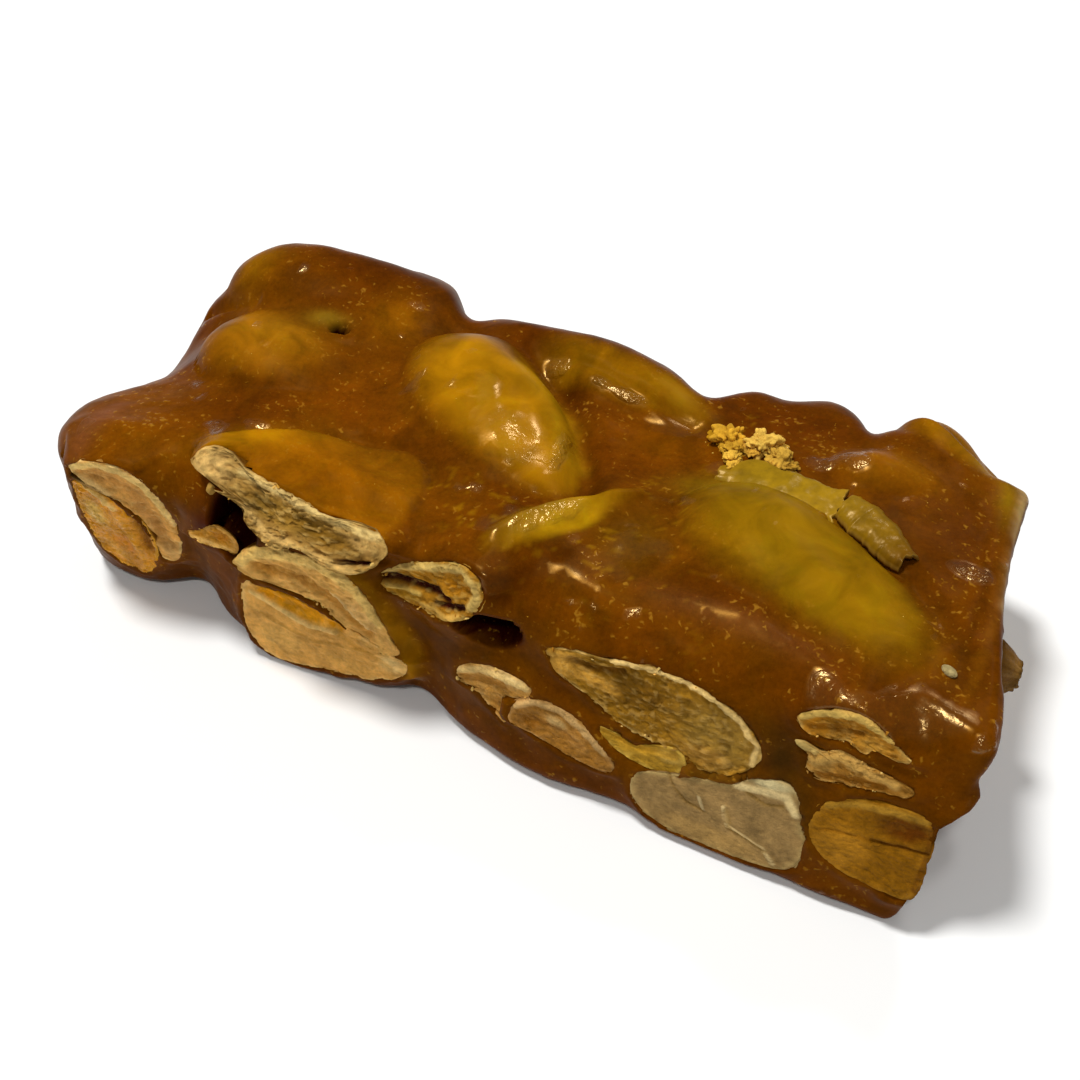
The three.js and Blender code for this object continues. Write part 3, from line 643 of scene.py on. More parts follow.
def cut_cap(node, number):
    """The points, faces, tints and wetness of a cut almond: its broken face and a skirt into the slab."""
    face = CUT_FACES[node]
    made = CUT_ALMONDS.get(node) or SIDE_LOOKS[number % len(SIDE_LOOKS)]
    seed = 40 + 3 * number
    chip = node == CHIP
    radii = face["radii"] * (CHIP_FACE if chip else 1)
    around = np.stack([np.cos(ANGLES), np.sin(ANGLES), np.zeros(OUTLINE_POINTS)], -1)
    edge = around * radii[:, None]
    ragged = 0.17 * lumps(edge, 0.8, seed, 3) + 0.12 * lumps(edge, 2.2, seed + 2)
    edge = edge + around * ((0.6 + 2 * made["rough"]) * ragged)[:, None]
    ring_count = round(4.6 * face["radii"].max()) + 18
    rings = np.sin(np.linspace(0, math.pi / 2, ring_count))[1:]  # closer together towards the rim
    local = np.concatenate([np.zeros((1, 3)), *[edge * share for share in rings]])
    inside = inside_outline(local[:, 0], local[:, 1], radii)
    local[:, 2], flesh, wet = broken_face(local, inside, made, seed)

    depth = LEFT_CHIP_DEPTH if node == "almond_chip_left" else min(1, face["radii"].mean() / 3)
    if chip:
        skirt = [edge * [share, share, 0] - [0, 0, down] for share, down in CHIP_SKIRT]
        skirt = [ring * (1 + 0.16 * lumps(ring * [1, 1, 2.4], 1.1, seed + 13, 2))[:, None] for ring in skirt]
    else:
        skirt = [edge * [share, share, 0] - [0, 0, down * depth] for share, down in SKIRT]
    # The skirt's rings go browner towards the slab: caramel soaked into the almond's side, and painted shade.
    rim = flesh[-OUTLINE_POINTS:]
    shades = CHIP_SHADE if chip else SKIRT_SHADE
    sunk = [stained(rim, SUNK_BROWN_AND_SHADE, np.full(OUTLINE_POINTS, share)) for share in shades]
    local = np.concatenate([local, *skirt])
    flesh = np.concatenate([flesh, *sunk])
    wet = np.concatenate([wet, np.zeros(OUTLINE_POINTS * len(SKIRT))])

    step = np.arange(OUTLINE_POINTS)
    ahead = (step + 1) % OUTLINE_POINTS
    faces = np.stack([0 * step, 1 + step, 1 + ahead], -1).tolist()
    for start in range(1, len(local) - OUTLINE_POINTS, OUTLINE_POINTS):
        below = start + OUTLINE_POINTS
        faces += np.stack([start + step, below + step, below + ahead, start + ahead], -1).tolist()
    faces.append((below + step)[::-1].tolist())
    points = face["middle"] + local @ np.stack([face["right"], face["up"], face["out"]])
    return points, faces, flesh, wet


def painted_material(name):
    """A new material with the place on the object, and the tint and wetness stored on the mesh."""
    material, tree, shader = new_material(name)
    place = add_node(tree, "ShaderNodeTexCoord").outputs["Object"]
    stored = add_node(tree, "ShaderNodeAttribute", dict(attribute_name="tint"))
    return material, tree, shader, place, stored.outputs["Color"], stored.outputs["Alpha"]


def mottled(tree, colour, pattern, low, high, dark, light):
    """A colour times dark where the pattern is low, rising to light where it is high."""
    shade = add_node(tree, "ShaderNodeMapRange", Value=pattern, From_Min=low, From_Max=high,
                     To_Min=dark, To_Max=light)
    scaled = add_node(tree, "ShaderNodeVectorMath", dict(operation="SCALE"), n0=colour,
                      Scale=shade.outputs[0])
    return scaled.outputs[0]


# Roasted almond flesh: sliced and torn, not cut clean, so it has a mealy grain of crumbs that looks
# quite matt. Real crumbs are near 0.1 mm and are drawn at 0.4 mm to show. Where sugar ran over it or
# a crack is still wet with it, it shines.
flesh_material, tree, shader, place, tinted, wetness = painted_material("broken_almond_flesh")
crumb = add_node(tree, "ShaderNodeTexNoise", Vector=place, Scale=noise_scale(0.417), Detail=5.0,
                 Roughness=0.7)
cloud = add_node(tree, "ShaderNodeTexNoise", Vector=place, Scale=noise_scale(1.61), Detail=3.0)
both = add_node(tree, "ShaderNodeMath", dict(operation="MULTIPLY_ADD"), n0=crumb.outputs["Fac"], n1=0.9,
                n2=cloud.outputs["Fac"])
tree.links.new(mottled(tree, tinted, both.outputs[0], 0.7, 1.2, 0.68, 1.2), shader.inputs["Base Color"])
bump = add_node(tree, "ShaderNodeBump", Height=crumb.outputs["Fac"], Strength=0.9, Distance=0.24 * MM)
tree.links.new(bump.outputs["Normal"], shader.inputs["Normal"])
dull = add_node(tree, "ShaderNodeMapRange", Value=wetness, To_Min=0.62, To_Max=0.18)
tree.links.new(dull.outputs[0], shader.inputs["Roughness"])
shine = add_node(tree, "ShaderNodeMapRange", Value=wetness, From_Min=0.3, To_Min=0.08, To_Max=0.45)
tree.links.new(shine.outputs[0], shader.inputs["Specular IOR Level"])
shader.inputs["Specular Tint"].default_value = linear("ffcc78")

cut_nodes = sorted(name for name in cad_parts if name.startswith("almond") and name not in WHOLE_ALMONDS)
CUT_FACES = {node: cut_face(node) for node in cut_nodes}
for number, (node, face) in enumerate(CUT_FACES.items()):
    face["radii"] = outline_radii(CUT_ALMONDS.get(node, {}).get("outline", face["corners"]))
    points, faces, flesh, wet = cut_cap(node, number)
    piece = new_piece(node.replace("almond", "cut_almond"), points, faces, flesh_material, flesh, wet)
    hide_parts(node)

# ---- the caramel ----
# One slab of dark boiled sugar that carries every almond. It was poured hot over the almonds, so its
# top sags between them and lies on them as a thin skin, and it was cut while it was still tough.
LENGTH, DEPTH, THICKNESS = 75.5, 29.5, 16.5
CROWN_RADIUS, FOOT_RADIUS, CORNER_RADIUS = 4.0, 1.2, 3.2
CRISP_END = 0.28  # share of those radii that is left at the right end, where the knife went through last
FRONT_Y = -12.5
BACK_Y = FRONT_Y + DEPTH
LEFT_X = -38.4
RIGHT_X = LEFT_X + LENGTH
LEAN_MIDDLE, LEAN_SLOPE = 1.0, 0.09  # mm that the front's foot stands out at X 0, and more for each mm
END_UNDERCUT = 3.2  # mm that the right end's foot goes in
LOW_FADE = 1.3  # a lobe has faded at 1 / this of the height
LATTICE = 0.3  # mm between the points of the fine skin
HALF = np.array([LENGTH, DEPTH, THICKNESS]) / 2

# Lobes of the cut sides: place along the side, reach, how far out, and how much it fades to the top.
FRONT_LOBES = [
    (-27, 3.2, -2.4, 0.8), (-15, 6, 0.7, 0.6), (-4, 3, -1.5, 0.6), (8, 7, 1.5, 1), (21, 5, 0.9, 1),
    (31, 5, 0.9, 1),
]
BACK_LOBES = [
    (-36.5, 4.5, -4, 0), (-20, 10, 3.4, 0), (-19, 4, 0.9, 0), (-13.4, 2, -2.2, 0), (-1, 6, 2.2, 0),
    (9.4, 2.4, -1.8, 0), (13, 2.4, 1.1, 0), (18, 5, 1.2, 0), (20, 2.6, 1.6, 0), (23.8, 1.2, -1.3, 0),
    (27.5, 3, 1, 0), (38, 7, -4.2, 0),
]
LEFT_LOBES = [(-5, 5, 1.1, 0), (4, 7, -1.6, 0), (13, 4, -0.6, 0)]
RIGHT_LOBES = [(-12, 5, 0.7, 0), (2, 6, -0.5, 0), (13, 12, -2.1, 0)]

# Swells of the top: middle, reach along and across, heading in degrees, and rise.
TOP_SWELLS = [
    (-25, 3, 9, 5.5, -8, 1.1),  # over the left almond
    (-25, 8.6, 7, 2.6, -4, 0.7),  # between it and the rear left one
    (-24, 13.5, 11, 5.5, 6, 2.6),  # over the rear left almond
    (-6, 3.4, 12.5, 7, -38, 1.9),  # over the middle almond
    (21.5, -2.8, 12.5, 8, -21, 1.6),  # over the right almond
    (1.5, 12.6, 11, 4.6, -8, 1.6),  # over the rear almond
    (4.3, -5, 8.5, 3, 48, 1),  # over the almond of the ridge
    (25.5, 8.6, 7, 4.5, -6, 0.9),  # over the far right almond
    (27.5, 14.5, 5, 3.6, 0, 1.6),  # over the almond of the rear corner
    (-15.5, -8, 10, 5, -10, 1.5),  # over the long almond of the front
    (7, 4, 6, 5, 0, -0.7),  # hollow between the middle and the right almond
    (-11, -4.5, 6, 2.2, -22, -0.9),  # hollow behind the long front almond
    (11, 12, 4, 4, 0, -0.8),  # hollow to the right of the rear almond
    (-12.5, 13, 2.6, 5, 0, -1.4),  # dip in the back edge
    (-37, 4, 7, 8, 0, -3.4),  # the left end falls away
    (-33, 12.4, 2.6, 2.4, 0, 0.8),  # knob at the rear left corner
    (-31, -10.5, 4, 3, 0, 1),  # over the almond cut at the left end
]

# The skin of caramel over each whole almond. film is how thick it lies there and slant how much more
# towards the covered side, soft and crisp are how wide its edge is on the two sides, clear is the
# heading of the side that stands clear, moat how deep the hollow there is, and tint what shows through.
SKINS = {
    "almond_middle": dict(film=0.1, slant=0.5, soft=2.4, crisp=0.2, clear=25, moat=1.4, tint="a87106"),
    "almond_right": dict(film=0.1, slant=0.25, soft=1.4, crisp=0.3, clear=-25, moat=0.55, tint="886206"),
    "almond_rear": dict(film=0.1, slant=0.8, soft=1.0, crisp=0.2, clear=-100, moat=0.8, tint="8a5a03"),
    "almond_ridge": dict(film=0.08, slant=0, soft=0.5, crisp=0.4, clear=-45, moat=0.5, tint="bc8a0a"),
    "almond_rear_left": dict(film=0.5, slant=0.5, soft=1.4, crisp=1.2, clear=180, moat=0, tint="703c02"),
    "almond_left": dict(film=0.35, slant=0.2, soft=3, crisp=2.6, clear=0, moat=0, tint="925a06"),
    "almond_far_right": dict(film=0.3, slant=0.2, soft=1.2, crisp=0.8, clear=0, moat=0, tint="864e04"),
    "almond_rear_corner": dict(film=0.12, slant=0, soft=0.8, crisp=0.5, clear=0, moat=0, tint="925f04"),
}

# The rest of the long front almond, under its film of caramel behind the cut: a low step in the top.
SHELF_TOP_AT = (-14.5, -7.8)
SHELF_TOP = [
    (-9.6, 0.2), (-5.5, 2.5), (-1.5, 4), (2.5, 4.7), (5.5, 4.7), (7.5, 3), (8.1, -0.2), (7.1, -4.4),
    (1.5, -4.8), (-4, -3.6), (-7.6, -1.6),
]
SHELF_STEP, SHELF_GROOVE = 0.5, 0.35
# Bubbles that the cut opened: place along the front and up it, width, height and depth.
BUBBLES = [(-20, 13.6, 4.4, 6.4, 5.5), (1.6, 12.2, 5.4, 3, 5)]
BUBBLE_SHADE = "260302"
# Folds and creases that the caramel kept on top as it set: path, half the width and height.
TOP_FOLDS = [
    # fold before the right almond:
    ([(12.4, -8.3), (16, -8.6), (20.4, -8.8), (23.6, -9.3), (26.4, -11)], 0.7, 0.12),
    # the sharp crest of the ridge:
    ([(0.2, -8.4), (1.5, -6.4), (3.2, -4.3), (5.6, -2), (8.2, -0.2)], 0.5, 0.45),
    # fold behind the long front almond:
    ([(-13.8, -1.4), (-10.5, -2), (-7, -3.2), (-3.4, -4.6), (-0.6, -5)], 0.35, 0.14),
    ([(-12.5, -2.4), (-9.5, -2.8), (-6.4, -4), (-3, -5.4)], 0.3, 0.12),  # and a lower one beside it
    ([(-6, -5.6), (-3.4, -6.2), (-1.2, -6.2), (0.8, -5.4)], 0.5, 0.2),  # fold from there to the ridge
    ([(32.4, -8), (33.4, -2), (33.6, 5), (33, 12)], 0.7, 0.15),  # fold along the right end
    ([(-36, 9.2), (-33, 9.3), (-30.6, 9)], 0.5, -0.7),  # crease near the rear left corner
    ([(-4.4, 12.3), (0, 11.6), (5, 10.4), (9, 9.6)], 0.5, -0.4),  # crease before the rear almond
    ([(-1, -7.6), (1, -9.6)], 0.22, 0.12),  # three short folds before the ridge
    ([(0.4, -8.4), (2.4, -10.6)], 0.22, 0.14),
    ([(1.6, -8.2), (3.4, -10)], 0.2, 0.1),
    ([(22, 2.2), (23.6, 1.8), (26.1, 0.7), (28.2, -0.3)], 0.35, -0.5),  # crease under the peel
]
TOP_DENTS = [((9.4, -3), (3, 2.4), 0, 0.4), ((5.4, 6.5), (3, 2.4), 0, 0.3)]  # middle, reach, heading, depth
# Fine wrinkles in the skin where it shrank: middle, reach and heading.
WRINKLED = [((31.2, -10.8), (5.4, 2.6), 4), ((-2.2, 0.2), (4.4, 2.4), -38), ((3, -5.6), (4, 1.6), 50)]
# Mm from a cut face: how far behind and before it the caramel heeds it, how far the caramel stops
# short of its rim, how high it stands beside the rim, and how far it lies back under the face.
BEHIND_FACE, BEFORE_FACE, RIM_GAP, RIM_HEIGHT, UNDER_FACE = -8, 4, 0.22, 0.14, 1.8
SIDE_SKIN = -0.22  # mm outside the form of an almond in a side, which is larger than its kernel
TEAR_FROM_X, TEAR_TO_Y, TEAR_HEIGHT = 31, -6, 10.2  # the front right corner is torn beyond and below these
TORN_HOLE_AT, TORN_HOLE_DEPTH = (-21.5, 7.4), 1.4

# Colours: thick caramel is dark and thin caramel lighter. Then patches that the skins don't give, each
# with its middle, reach, heading, colour and strength.
THICK, THIN = "5a2a01", "6f3c02"
# The colours of the hollows beside the almonds and of the torn hole are painted shade.
MOAT_SHADE, SHELF_GOLD, TORN_HOLE_SHADE, CRYSTAL_GOLD = "481f01", "8a5203", "240500", "ac7c0a"
FRONT_TINT, BACK_TINT = "5e3301", "5c3001"
TOP_STAINS = [
    ((-32, 12.4), (2.2, 2.6), 0, "8c5a03", 0.9),  # gold at the rear left almond's tip
    ((-22, 14.5), (8, 4.6), 0, "562701", 0.95),  # thick over the rest of that almond
    ((-26, 4.4), (4.6, 3), -6, "98640a", 0.6),  # gold over the left almond
    ((-31, -9), (5, 5), 0, "7b4402", 0.6),  # lighter over the almond of the left end
    ((-20.5, -6.6), (4, 1.3), 24, "a87204", 0.75),  # gold along the rear of the long front almond
    ((-16, -6.4), (4, 2), -8, "985e02", 0.5),  # its film
    ((-14, -8.5), (5, 2.4), -8, "884c02", 0.7),  # its film, nearer to the cut
    ((0, 16), (9, 1.9), -8, "5a2b02", 1),  # dark along the back edge
    ((7.4, 11.4), (2.2, 1), -30, "a07410", 0.8),  # gold at the rear almond's right end
    ((17, 12.5), (8, 3.8), 0, "582801", 0.9),  # thick behind the burst glaze
    ((13, -5), (4, 2.4), 0, "744003", 0.5),  # lighter to the left of the right almond
    ((9.5, -4.6), (3, 3.2), 20, "644006", 0.75),  # olive film beside the ridge
    ((18.5, -7.4), (6, 1.7), -8, "582a01", 0.9),  # thick before the right almond
    ((25, 9.8), (3.4, 1.8), -4, "8a5206", 0.6),  # the far right almond's skin
    ((26.4, -4.4), (4.4, 3), -22, "966a08", 0.8),  # gold over the front of the right almond
    ((33.4, 11), (0.8, 3), 8, "86620c", 0.9),  # gold along the rear right edge
    ((31.2, 14), (1.8, 1), -30, "9c7420", 0.8),  # the tip of the rear corner almond
    ((34.8, 3), (0.5, 5), 4, "8a5a20", 0.5),  # along the right edge
    ((15.5, 3.2), (5, 1.7), 8, "94700e", 0.85),  # gold before the lip
    ((-23, 7.9), (1.8, 0.8), 10, "8a6a14", 0.7),  # pale beside the torn hole
    ((20, -9.2), (8, 0.9), -6, "84502a", 0.3),  # painted sheen along the front fold
    ((5.4, 5), (3.4, 3), -40, "642d01", 0.85),  # thick to the right of the middle almond
    ((-17, 0), (6, 2.6), -20, "743a02", 0.7),  # between the left and the middle almond
    ((-12, -3.8), (6, 1.2), -12, "6a3e04", 0.6),  # the hollow behind the long front almond
    ((-34.5, -8), (1.2, 2.6), 0, "8a5640", 0.35),  # painted sheen at the left end
    ((31, 3), (3.4, 7), 0, "562901", 0.85),  # thick towards the right end
    ((28, -10), (6, 2.2), -8, "5e2e01", 0.8),  # the front right corner
    ((35, -12), (2.6, 3), 0, "5f3001", 0.8),  # and its torn edge
    ((7, 7), (4, 3), 0, "824802", 0.6),  # lighter before the rear almond
    ((-17.4, 10.2), (2.4, 2.4), 0, "864f03", 0.8),  # between the rear left and the middle almond
]
FRONT_STAINS = [  # the same, with the middle's place along the front and up it
    ((24.4, 10.4), (1.6, 2.6), 20, "3a2408", 0.9),  # painted shade in the gap between the rough almond and the corner
    ((26.2, 6.6), (1.4, 2.6), 10, "583808", 0.8),  # and below it
    ((-9, 12.4), (3, 0.7), -40, "8c5c04", 0.8),  # gold over the split almond
    ((-6.2, 8.2), (2.6, 0.7), -62, "946204", 0.8),  # gold along its right side
    ((-5.2, 4.2), (0.6, 1.7), 0, "a87006", 0.9),  # gold at its foot
    ((-22.6, 12.4), (1.5, 2), 0, "4a1202", 0.85),  # red dark beside the left bubble
    ((-24.4, 4.4), (1.6, 2), 0, "4e2602", 0.6),  # painted shade between the end and the split almond
    ((-12, 12.4), (6, 0.7), -12, "4a2402", 0.8),  # shade under the long front almond
    ((0, 1.2), (44, 2.2), 0, "5a2a02", 0.7),  # dark along the foot
    ((8.4, 8.6), (3.4, 1.4), -30, "6a3602", 0.5),  # between the slice and the rough almond
    ((-29, 5.4), (2.4, 5), 0, "623202", 0.6),  # beside the almond of the left end
    ((34, 13.6), (2.2, 2.4), 0, "703802", 0.6),  # to the right of the two thin halves
    ((-22, 7), (2, 3), 0, "6c3604", 0.6),  # under the left bubble
    ((20, 7.4), (3, 1), 10, "6a4a14", 0.6),  # over the pale almond
]
TOP_STREAKS = [  # path on the top, half the width, colour and strength
    # dark line inside the front right edge:
    ([(33.4, -12.4), (33.7, -7), (33.9, -2), (33.6, 3)], 0.35, "4a2401", 0.8),
    ([(34.5, -12.4), (34.8, -7), (34.9, -2)], 0.3, "8c5408", 0.35),  # thin lighter line beside it
    # painted shade along the hollow beside the middle almond:
    ([(-1.2, 9.8), (2.7, 6), (5.4, 1.8), (5.5, -1.4)], 0.6, "4e2401", 0.5),
    ([(-4.6, 8.6), (-0.9, 5.7), (1.7, 1.7)], 1.2, "b07e0c", 0.85),  # gold film on its right side
    # pale bare edge at the right end:
    ([(34.2, 13), (34.9, 9.4), (35.3, 5.2), (35.7, 0.4)], 0.5, "c09e68", 0.95),
    # painted shade in the crease before the right almond:
    ([(22.6, -7.6), (27.4, -8.6), (31.2, -6.6), (31.4, -2)], 0.8, "542801", 0.7),
]
# Drifts of fine sugar crystals that show golden: middle, reach and heading.
SPECKLED = [
    ((7, -6.5), (9, 3.6), -18),
    ((-3, -6.6), (5, 2.2), -20),
    ((11, 1), (3, 4), 0),
    ((13, 10.6), (4, 2), 0),
]
# Where the skin set wet and finely wrinkled instead of dull: middle, reach, heading and strength.
WET_PATCHES = [
    ((-6, 4), (2.6, 1.4), -30, 0.6), ((-2.2, 0.4), (5, 3), -38, 0.66), ((1, 1.4), (0.7, 4), 8, 1),
    ((3, -5.6), (4, 1.4), 50, 0.78), ((2.4, 10.4), (2.6, 0.8), -6, 1),
    ((-3.8, 11.5), (1.6, 1.1), 0, 0.9), ((20.6, 8.8), (2.6, 1.3), 0, 0.85),
    ((32.6, 2.2), (1.8, 1.1), 0, 0.9), ((26.6, -11.2), (2.4, 1.3), 0, 0.66),
    ((31.2, -11), (5.4, 2.4), 4, 0.64), ((36.6, -13), (0.8, 1.6), 0, 1),
    ((-24.8, -6.2), (1.4, 0.8), 0, 0.95), ((-22, -4.9), (1.2, 0.6), 0, 0.8),
    ((-35, -8), (1, 2.6), 0, 0.6), ((10, -5), (3, 2), 0, 0.6), ((0.6, -8.8), (3.4, 1.5), -50, 0.62),
    ((13.4, 5.4), (2.2, 1.6), 0, 0.7), ((19, -9), (7, 1), -6, 0.43), ((-17, 12.4), (1, 0.8), 0, 0.7),
    ((8, 9), (3, 2), 0, 0.55), ((26, 2.6), (3, 1), -20, 0.7), ((-12, -4.4), (4, 0.8), -16, 0.5),
    ((7, -8), (4, 2.4), -20, 0.58),
]


def lerp(low, high, share):
    return low + (high - low) * share


def push(lobes, along, share):
    """How far the lobes of a side stand out at each point, by its place along and its share of the height."""
    return sum(
        out * bell((along - at) / reach) * (1 - low * ease(share * LOW_FADE))
        for at, reach, out, low in lobes
    )


def front_out(x, z):
    share = np.clip(z / THICKNESS, 0, 1)
    return -(LEAN_MIDDLE + LEAN_SLOPE * x) * (1 - share) - push(FRONT_LOBES, x, share)


def right_out(y, z):
    share = np.clip(z / THICKNESS, 0, 1)
    return -END_UNDERCUT * (1 - share) + push(RIGHT_LOBES, y, share)


def top_rise(x, y):
    return sum(
        rise * oval(x, y, (at_x, at_y), (along, across), heading)
        for at_x, at_y, along, across, heading, rise in TOP_SWELLS
    )


def surface_normals(points, quads):
    a, b, c, d = points[quads].transpose(1, 0, 2)
    facing = np.cross(c - a, d - b)
    total = np.zeros_like(points)
    for corner in range(4):
        np.add.at(total, quads[:, corner], facing)
    return total / np.linalg.norm(total, axis=1)[:, None]


def poured_block():
    """The slab's plain outer form, as points in mm in the bar's own frame, and its quads."""
    size = 2 * HALF
    points, quads = box_skin([round(side / LATTICE) for side in size])
    points = points * size - HALF
    corner = lerp(CORNER_RADIUS, CROWN_RADIUS, ease(points[:, 2] / HALF[2] + 0.5))
    crisp = lerp(1, CRISP_END, ease((points[:, 0] / HALF[0] - 0.84) / 0.14))
    corner, crown = corner * crisp, CROWN_RADIUS * crisp
    heart = points.copy()
    for axis in (0, 1):
        heart[:, axis] = np.clip(points[:, axis], corner - HALF[axis], HALF[axis] - corner)
    heart[:, 2] = np.clip(points[:, 2], FOOT_RADIUS - HALF[2], HALF[2] - crown)
    out = points - heart
    edge = np.where(out[:, 2] > 0, crown, FOOT_RADIUS)
    reach = np.sqrt((out[:, 0] / corner) ** 2 + (out[:, 1] / corner) ** 2 + (out[:, 2] / edge) ** 2)
    points = heart + out / np.maximum(reach, 1e-9)[:, None]

    share = (points[:, 2] + HALF[2]) / THICKNESS
    z = share * THICKNESS
    x = points[:, 0] + (LEFT_X + RIGHT_X) / 2
    y = points[:, 1] + (FRONT_Y + BACK_Y) / 2
    back = push(BACK_LOBES, x, share)
    left = -push(LEFT_LOBES, y, share)
    moved_y = y + lerp(front_out(x, z), back, (y - FRONT_Y) / DEPTH)
    moved_x = x + lerp(left, right_out(y, z), (x - LEFT_X) / LENGTH)
    # The knife tore the front right corner: a ragged edge hangs out over the lower half there.
    torn = ease((x - TEAR_FROM_X) / 3) * ease((TEAR_TO_Y - y) / 4)
    hem = TEAR_HEIGHT + 1.3 * lumps(np.stack([x, y, 0 * x], -1), 1.6, 61, 2)
    step = 0.7 * bell((z - hem - 0.9) / 0.9) - 0.6 * ease((hem - z) / 0.4) * ease((z - 2) / 5)
    moved_x = moved_x + torn * step * ease((x - 30) / 6)
    moved_y = moved_y - 0.5 * torn * step * ease((-y - 11) / 3)
    moved_z = z + share**2 * top_rise(moved_x, moved_y)
    return np.stack([moved_x, moved_y, moved_z], -1), quads


def beyond_kernel(points, almond):
    """How far each point is outside an almond, as a share of the almond's own size: 0 on its surface."""
    local = (points - almond["at"]) @ turned(*almond["turn"])
    along, across, up = (2 * local / almond["size"]).T
    slim = np.maximum(1 - POINTED * along, 0.2)
    return np.sqrt(along**2 + (across / slim) ** 2 + (up / slim) ** 2) - 1


def kernel_height(x, y, almond):
    """The height of an almond's upper side over each point, and how far outside its girth that is."""
    low = np.full(len(x), almond["at"][2] + 0.2)
    girth = low.copy()
    high = low + almond["size"][2]
    outside = beyond_kernel(np.stack([x, y, low], -1), almond) * almond["size"][1] / 2
    for _ in range(18):
        middle = (low + high) / 2
        inside = beyond_kernel(np.stack([x, y, middle], -1), almond) < 0
        low = np.where(inside, middle, low)
        high = np.where(inside, high, middle)
    return np.where(outside < 0, low, girth - 2.5 * outside), outside


def smooth_max(first, second, width):
    share = np.clip(0.5 + 0.5 * (second - first) / width, 0, 1)
    return lerp(first, second, share) + width * share * (1 - share)


def patched(tint, patches, a, b, share):
    """The tint of each point, with patches of colour on the part of the skin that share picks out."""
    for middle, reach, heading, colour, strength in patches:
        tint = stained(tint, colour, share * strength * oval(a, b, middle, reach, heading))
    return tint


caramel_points, caramel_quads = poured_block()
plain = caramel_points.copy()
plain_normals = surface_normals(plain, caramel_quads)
upward = ease((plain_normals[:, 2] - 0.15) / 0.5)  # 1 on the top, 0 on the sides and underneath
x, y, z = plain.T.copy()
tint = np.tile(linear(THICK)[:3], (len(x), 1))
tint = stained(tint, THIN, 0.5 + 0.5 * lumps(plain, 6, 21, 2))

# The top: hollows beside the almonds that stand clear, then the skin of caramel over each almond.
for node, skin in SKINS.items():
    almond = WHOLE_ALMONDS[node]
    height, outside = kernel_height(x, y, almond)
    clear = math.radians(skin["clear"])
    dx, dy = x - almond["at"][0], y - almond["at"][1]
    side = (dx * math.cos(clear) + dy * math.sin(clear)) / np.maximum(np.hypot(dx, dy), 1e-6)
    crispness = ease((side + 0.1) / 0.8) * (skin["moat"] > 0)
    z = z - upward * skin["moat"] * crispness * bell((outside - 0.3) / 1.3)
    width = lerp(skin["soft"], skin["crisp"], crispness)
    covered = np.maximum(-dx * math.cos(clear) - dy * math.sin(clear), 0) / almond["size"][1]
    film = skin["film"] + skin["slant"] * covered
    z = lerp(z, smooth_max(z, height + film, width), upward)
    over = np.maximum(z - height - skin["film"], 0)
    faded = ease((lerp(1.2, 0.2, crispness) - outside) / lerp(4.2, 0.7, crispness))
    # Painted shade in the hollow beside each almond's clear side.
    tint = stained(tint, MOAT_SHADE, 0.7 * upward * crispness * bell((outside - 1.1) / 0.7))
    tint = stained(tint, skin["tint"], bell(over / 0.95) * upward * faded)

inside = inside_outline(x - SHELF_TOP_AT[0], y - SHELF_TOP_AT[1], outline_radii(SHELF_TOP))
behind = ease((y + 9.6) / 2) * ease((-5.4 - x) / 3)
step = SHELF_STEP * ease((inside + 0.1) / 0.35) - SHELF_GROOVE * bell((inside + 0.6) / 0.6)
z = z + upward * step * behind
tint = stained(tint, SHELF_GOLD, 0.9 * upward * ease((inside + 0.2) / 1.1) * ease((-5 - x) / 2))
for path, half_width, height in TOP_FOLDS:
    z = z + upward * height * bell(line_distance(x, y, path) / half_width)
for middle, reach, heading, deep in TOP_DENTS:
    z = z - upward * deep * oval(x, y, middle, reach, heading)

# A bubble broke through the top at the left and left a small torn hole with a lip.
torn_open = ease(2.4 * oval(x, y, TORN_HOLE_AT, (1.2, 0.62), 10) - 0.9 + 0.4 * lumps(plain, 0.7, 17, 2))
torn_lip = bell((np.hypot((x + 21.6) / 1.7, y - 7.5) - 1) / 0.4)
z = z + upward * (0.16 * torn_lip * (1 + lumps(plain, 0.8, 18)) - TORN_HOLE_DEPTH * torn_open)

# The skin is nowhere quite smooth, and the foot stays flat on its board.
z = z + upward * (0.09 * lumps(plain, 3.2, 5, 3) + 0.02 * lumps(plain, 0.9, 11, 2))
caramel_points = np.stack([x, y, z], -1)
side_lumps = 0.2 * lumps(plain, 4.0, 3, 3) + 0.05 * lumps(plain, 1.0, 8, 2)
resting = ease(plain[:, 2] / 2.5)
caramel_points += plain_normals * ((1 - upward) * side_lumps * resting)[:, None]

for path, half_width, colour, strength in TOP_STREAKS:
    wander = line_distance(x, y, path) + 0.3 * lumps(plain, 1.2, 45, 3)
    tint = stained(tint, colour, upward * strength * bell(wander / half_width))
tint = patched(tint, TOP_STAINS, x, y, upward)
crystals = ease((lumps(plain * [1, 1.5, 1], 0.62, 91, 2) - 0.45) / 0.3)
for middle, reach, heading in SPECKLED:
    tint = stained(tint, CRYSTAL_GOLD, 0.32 * upward * crystals * oval(x, y, middle, reach, heading))
# Painted shade inside the torn hole.
tint = stained(tint, TORN_HOLE_SHADE, upward * ease(2.5 * torn_open))
wet = 0.2 + 0.5 * ease((lumps(plain, 1.5, 33, 3) - 0.7) / 0.4)
broken_up = 0.75 + 0.45 * lumps(plain, 1.6, 37, 3)
for middle, reach, heading, strength in WET_PATCHES:
    wet = np.maximum(wet, strength * upward * ease(1.5 * broken_up * oval(x, y, middle, reach, heading)))

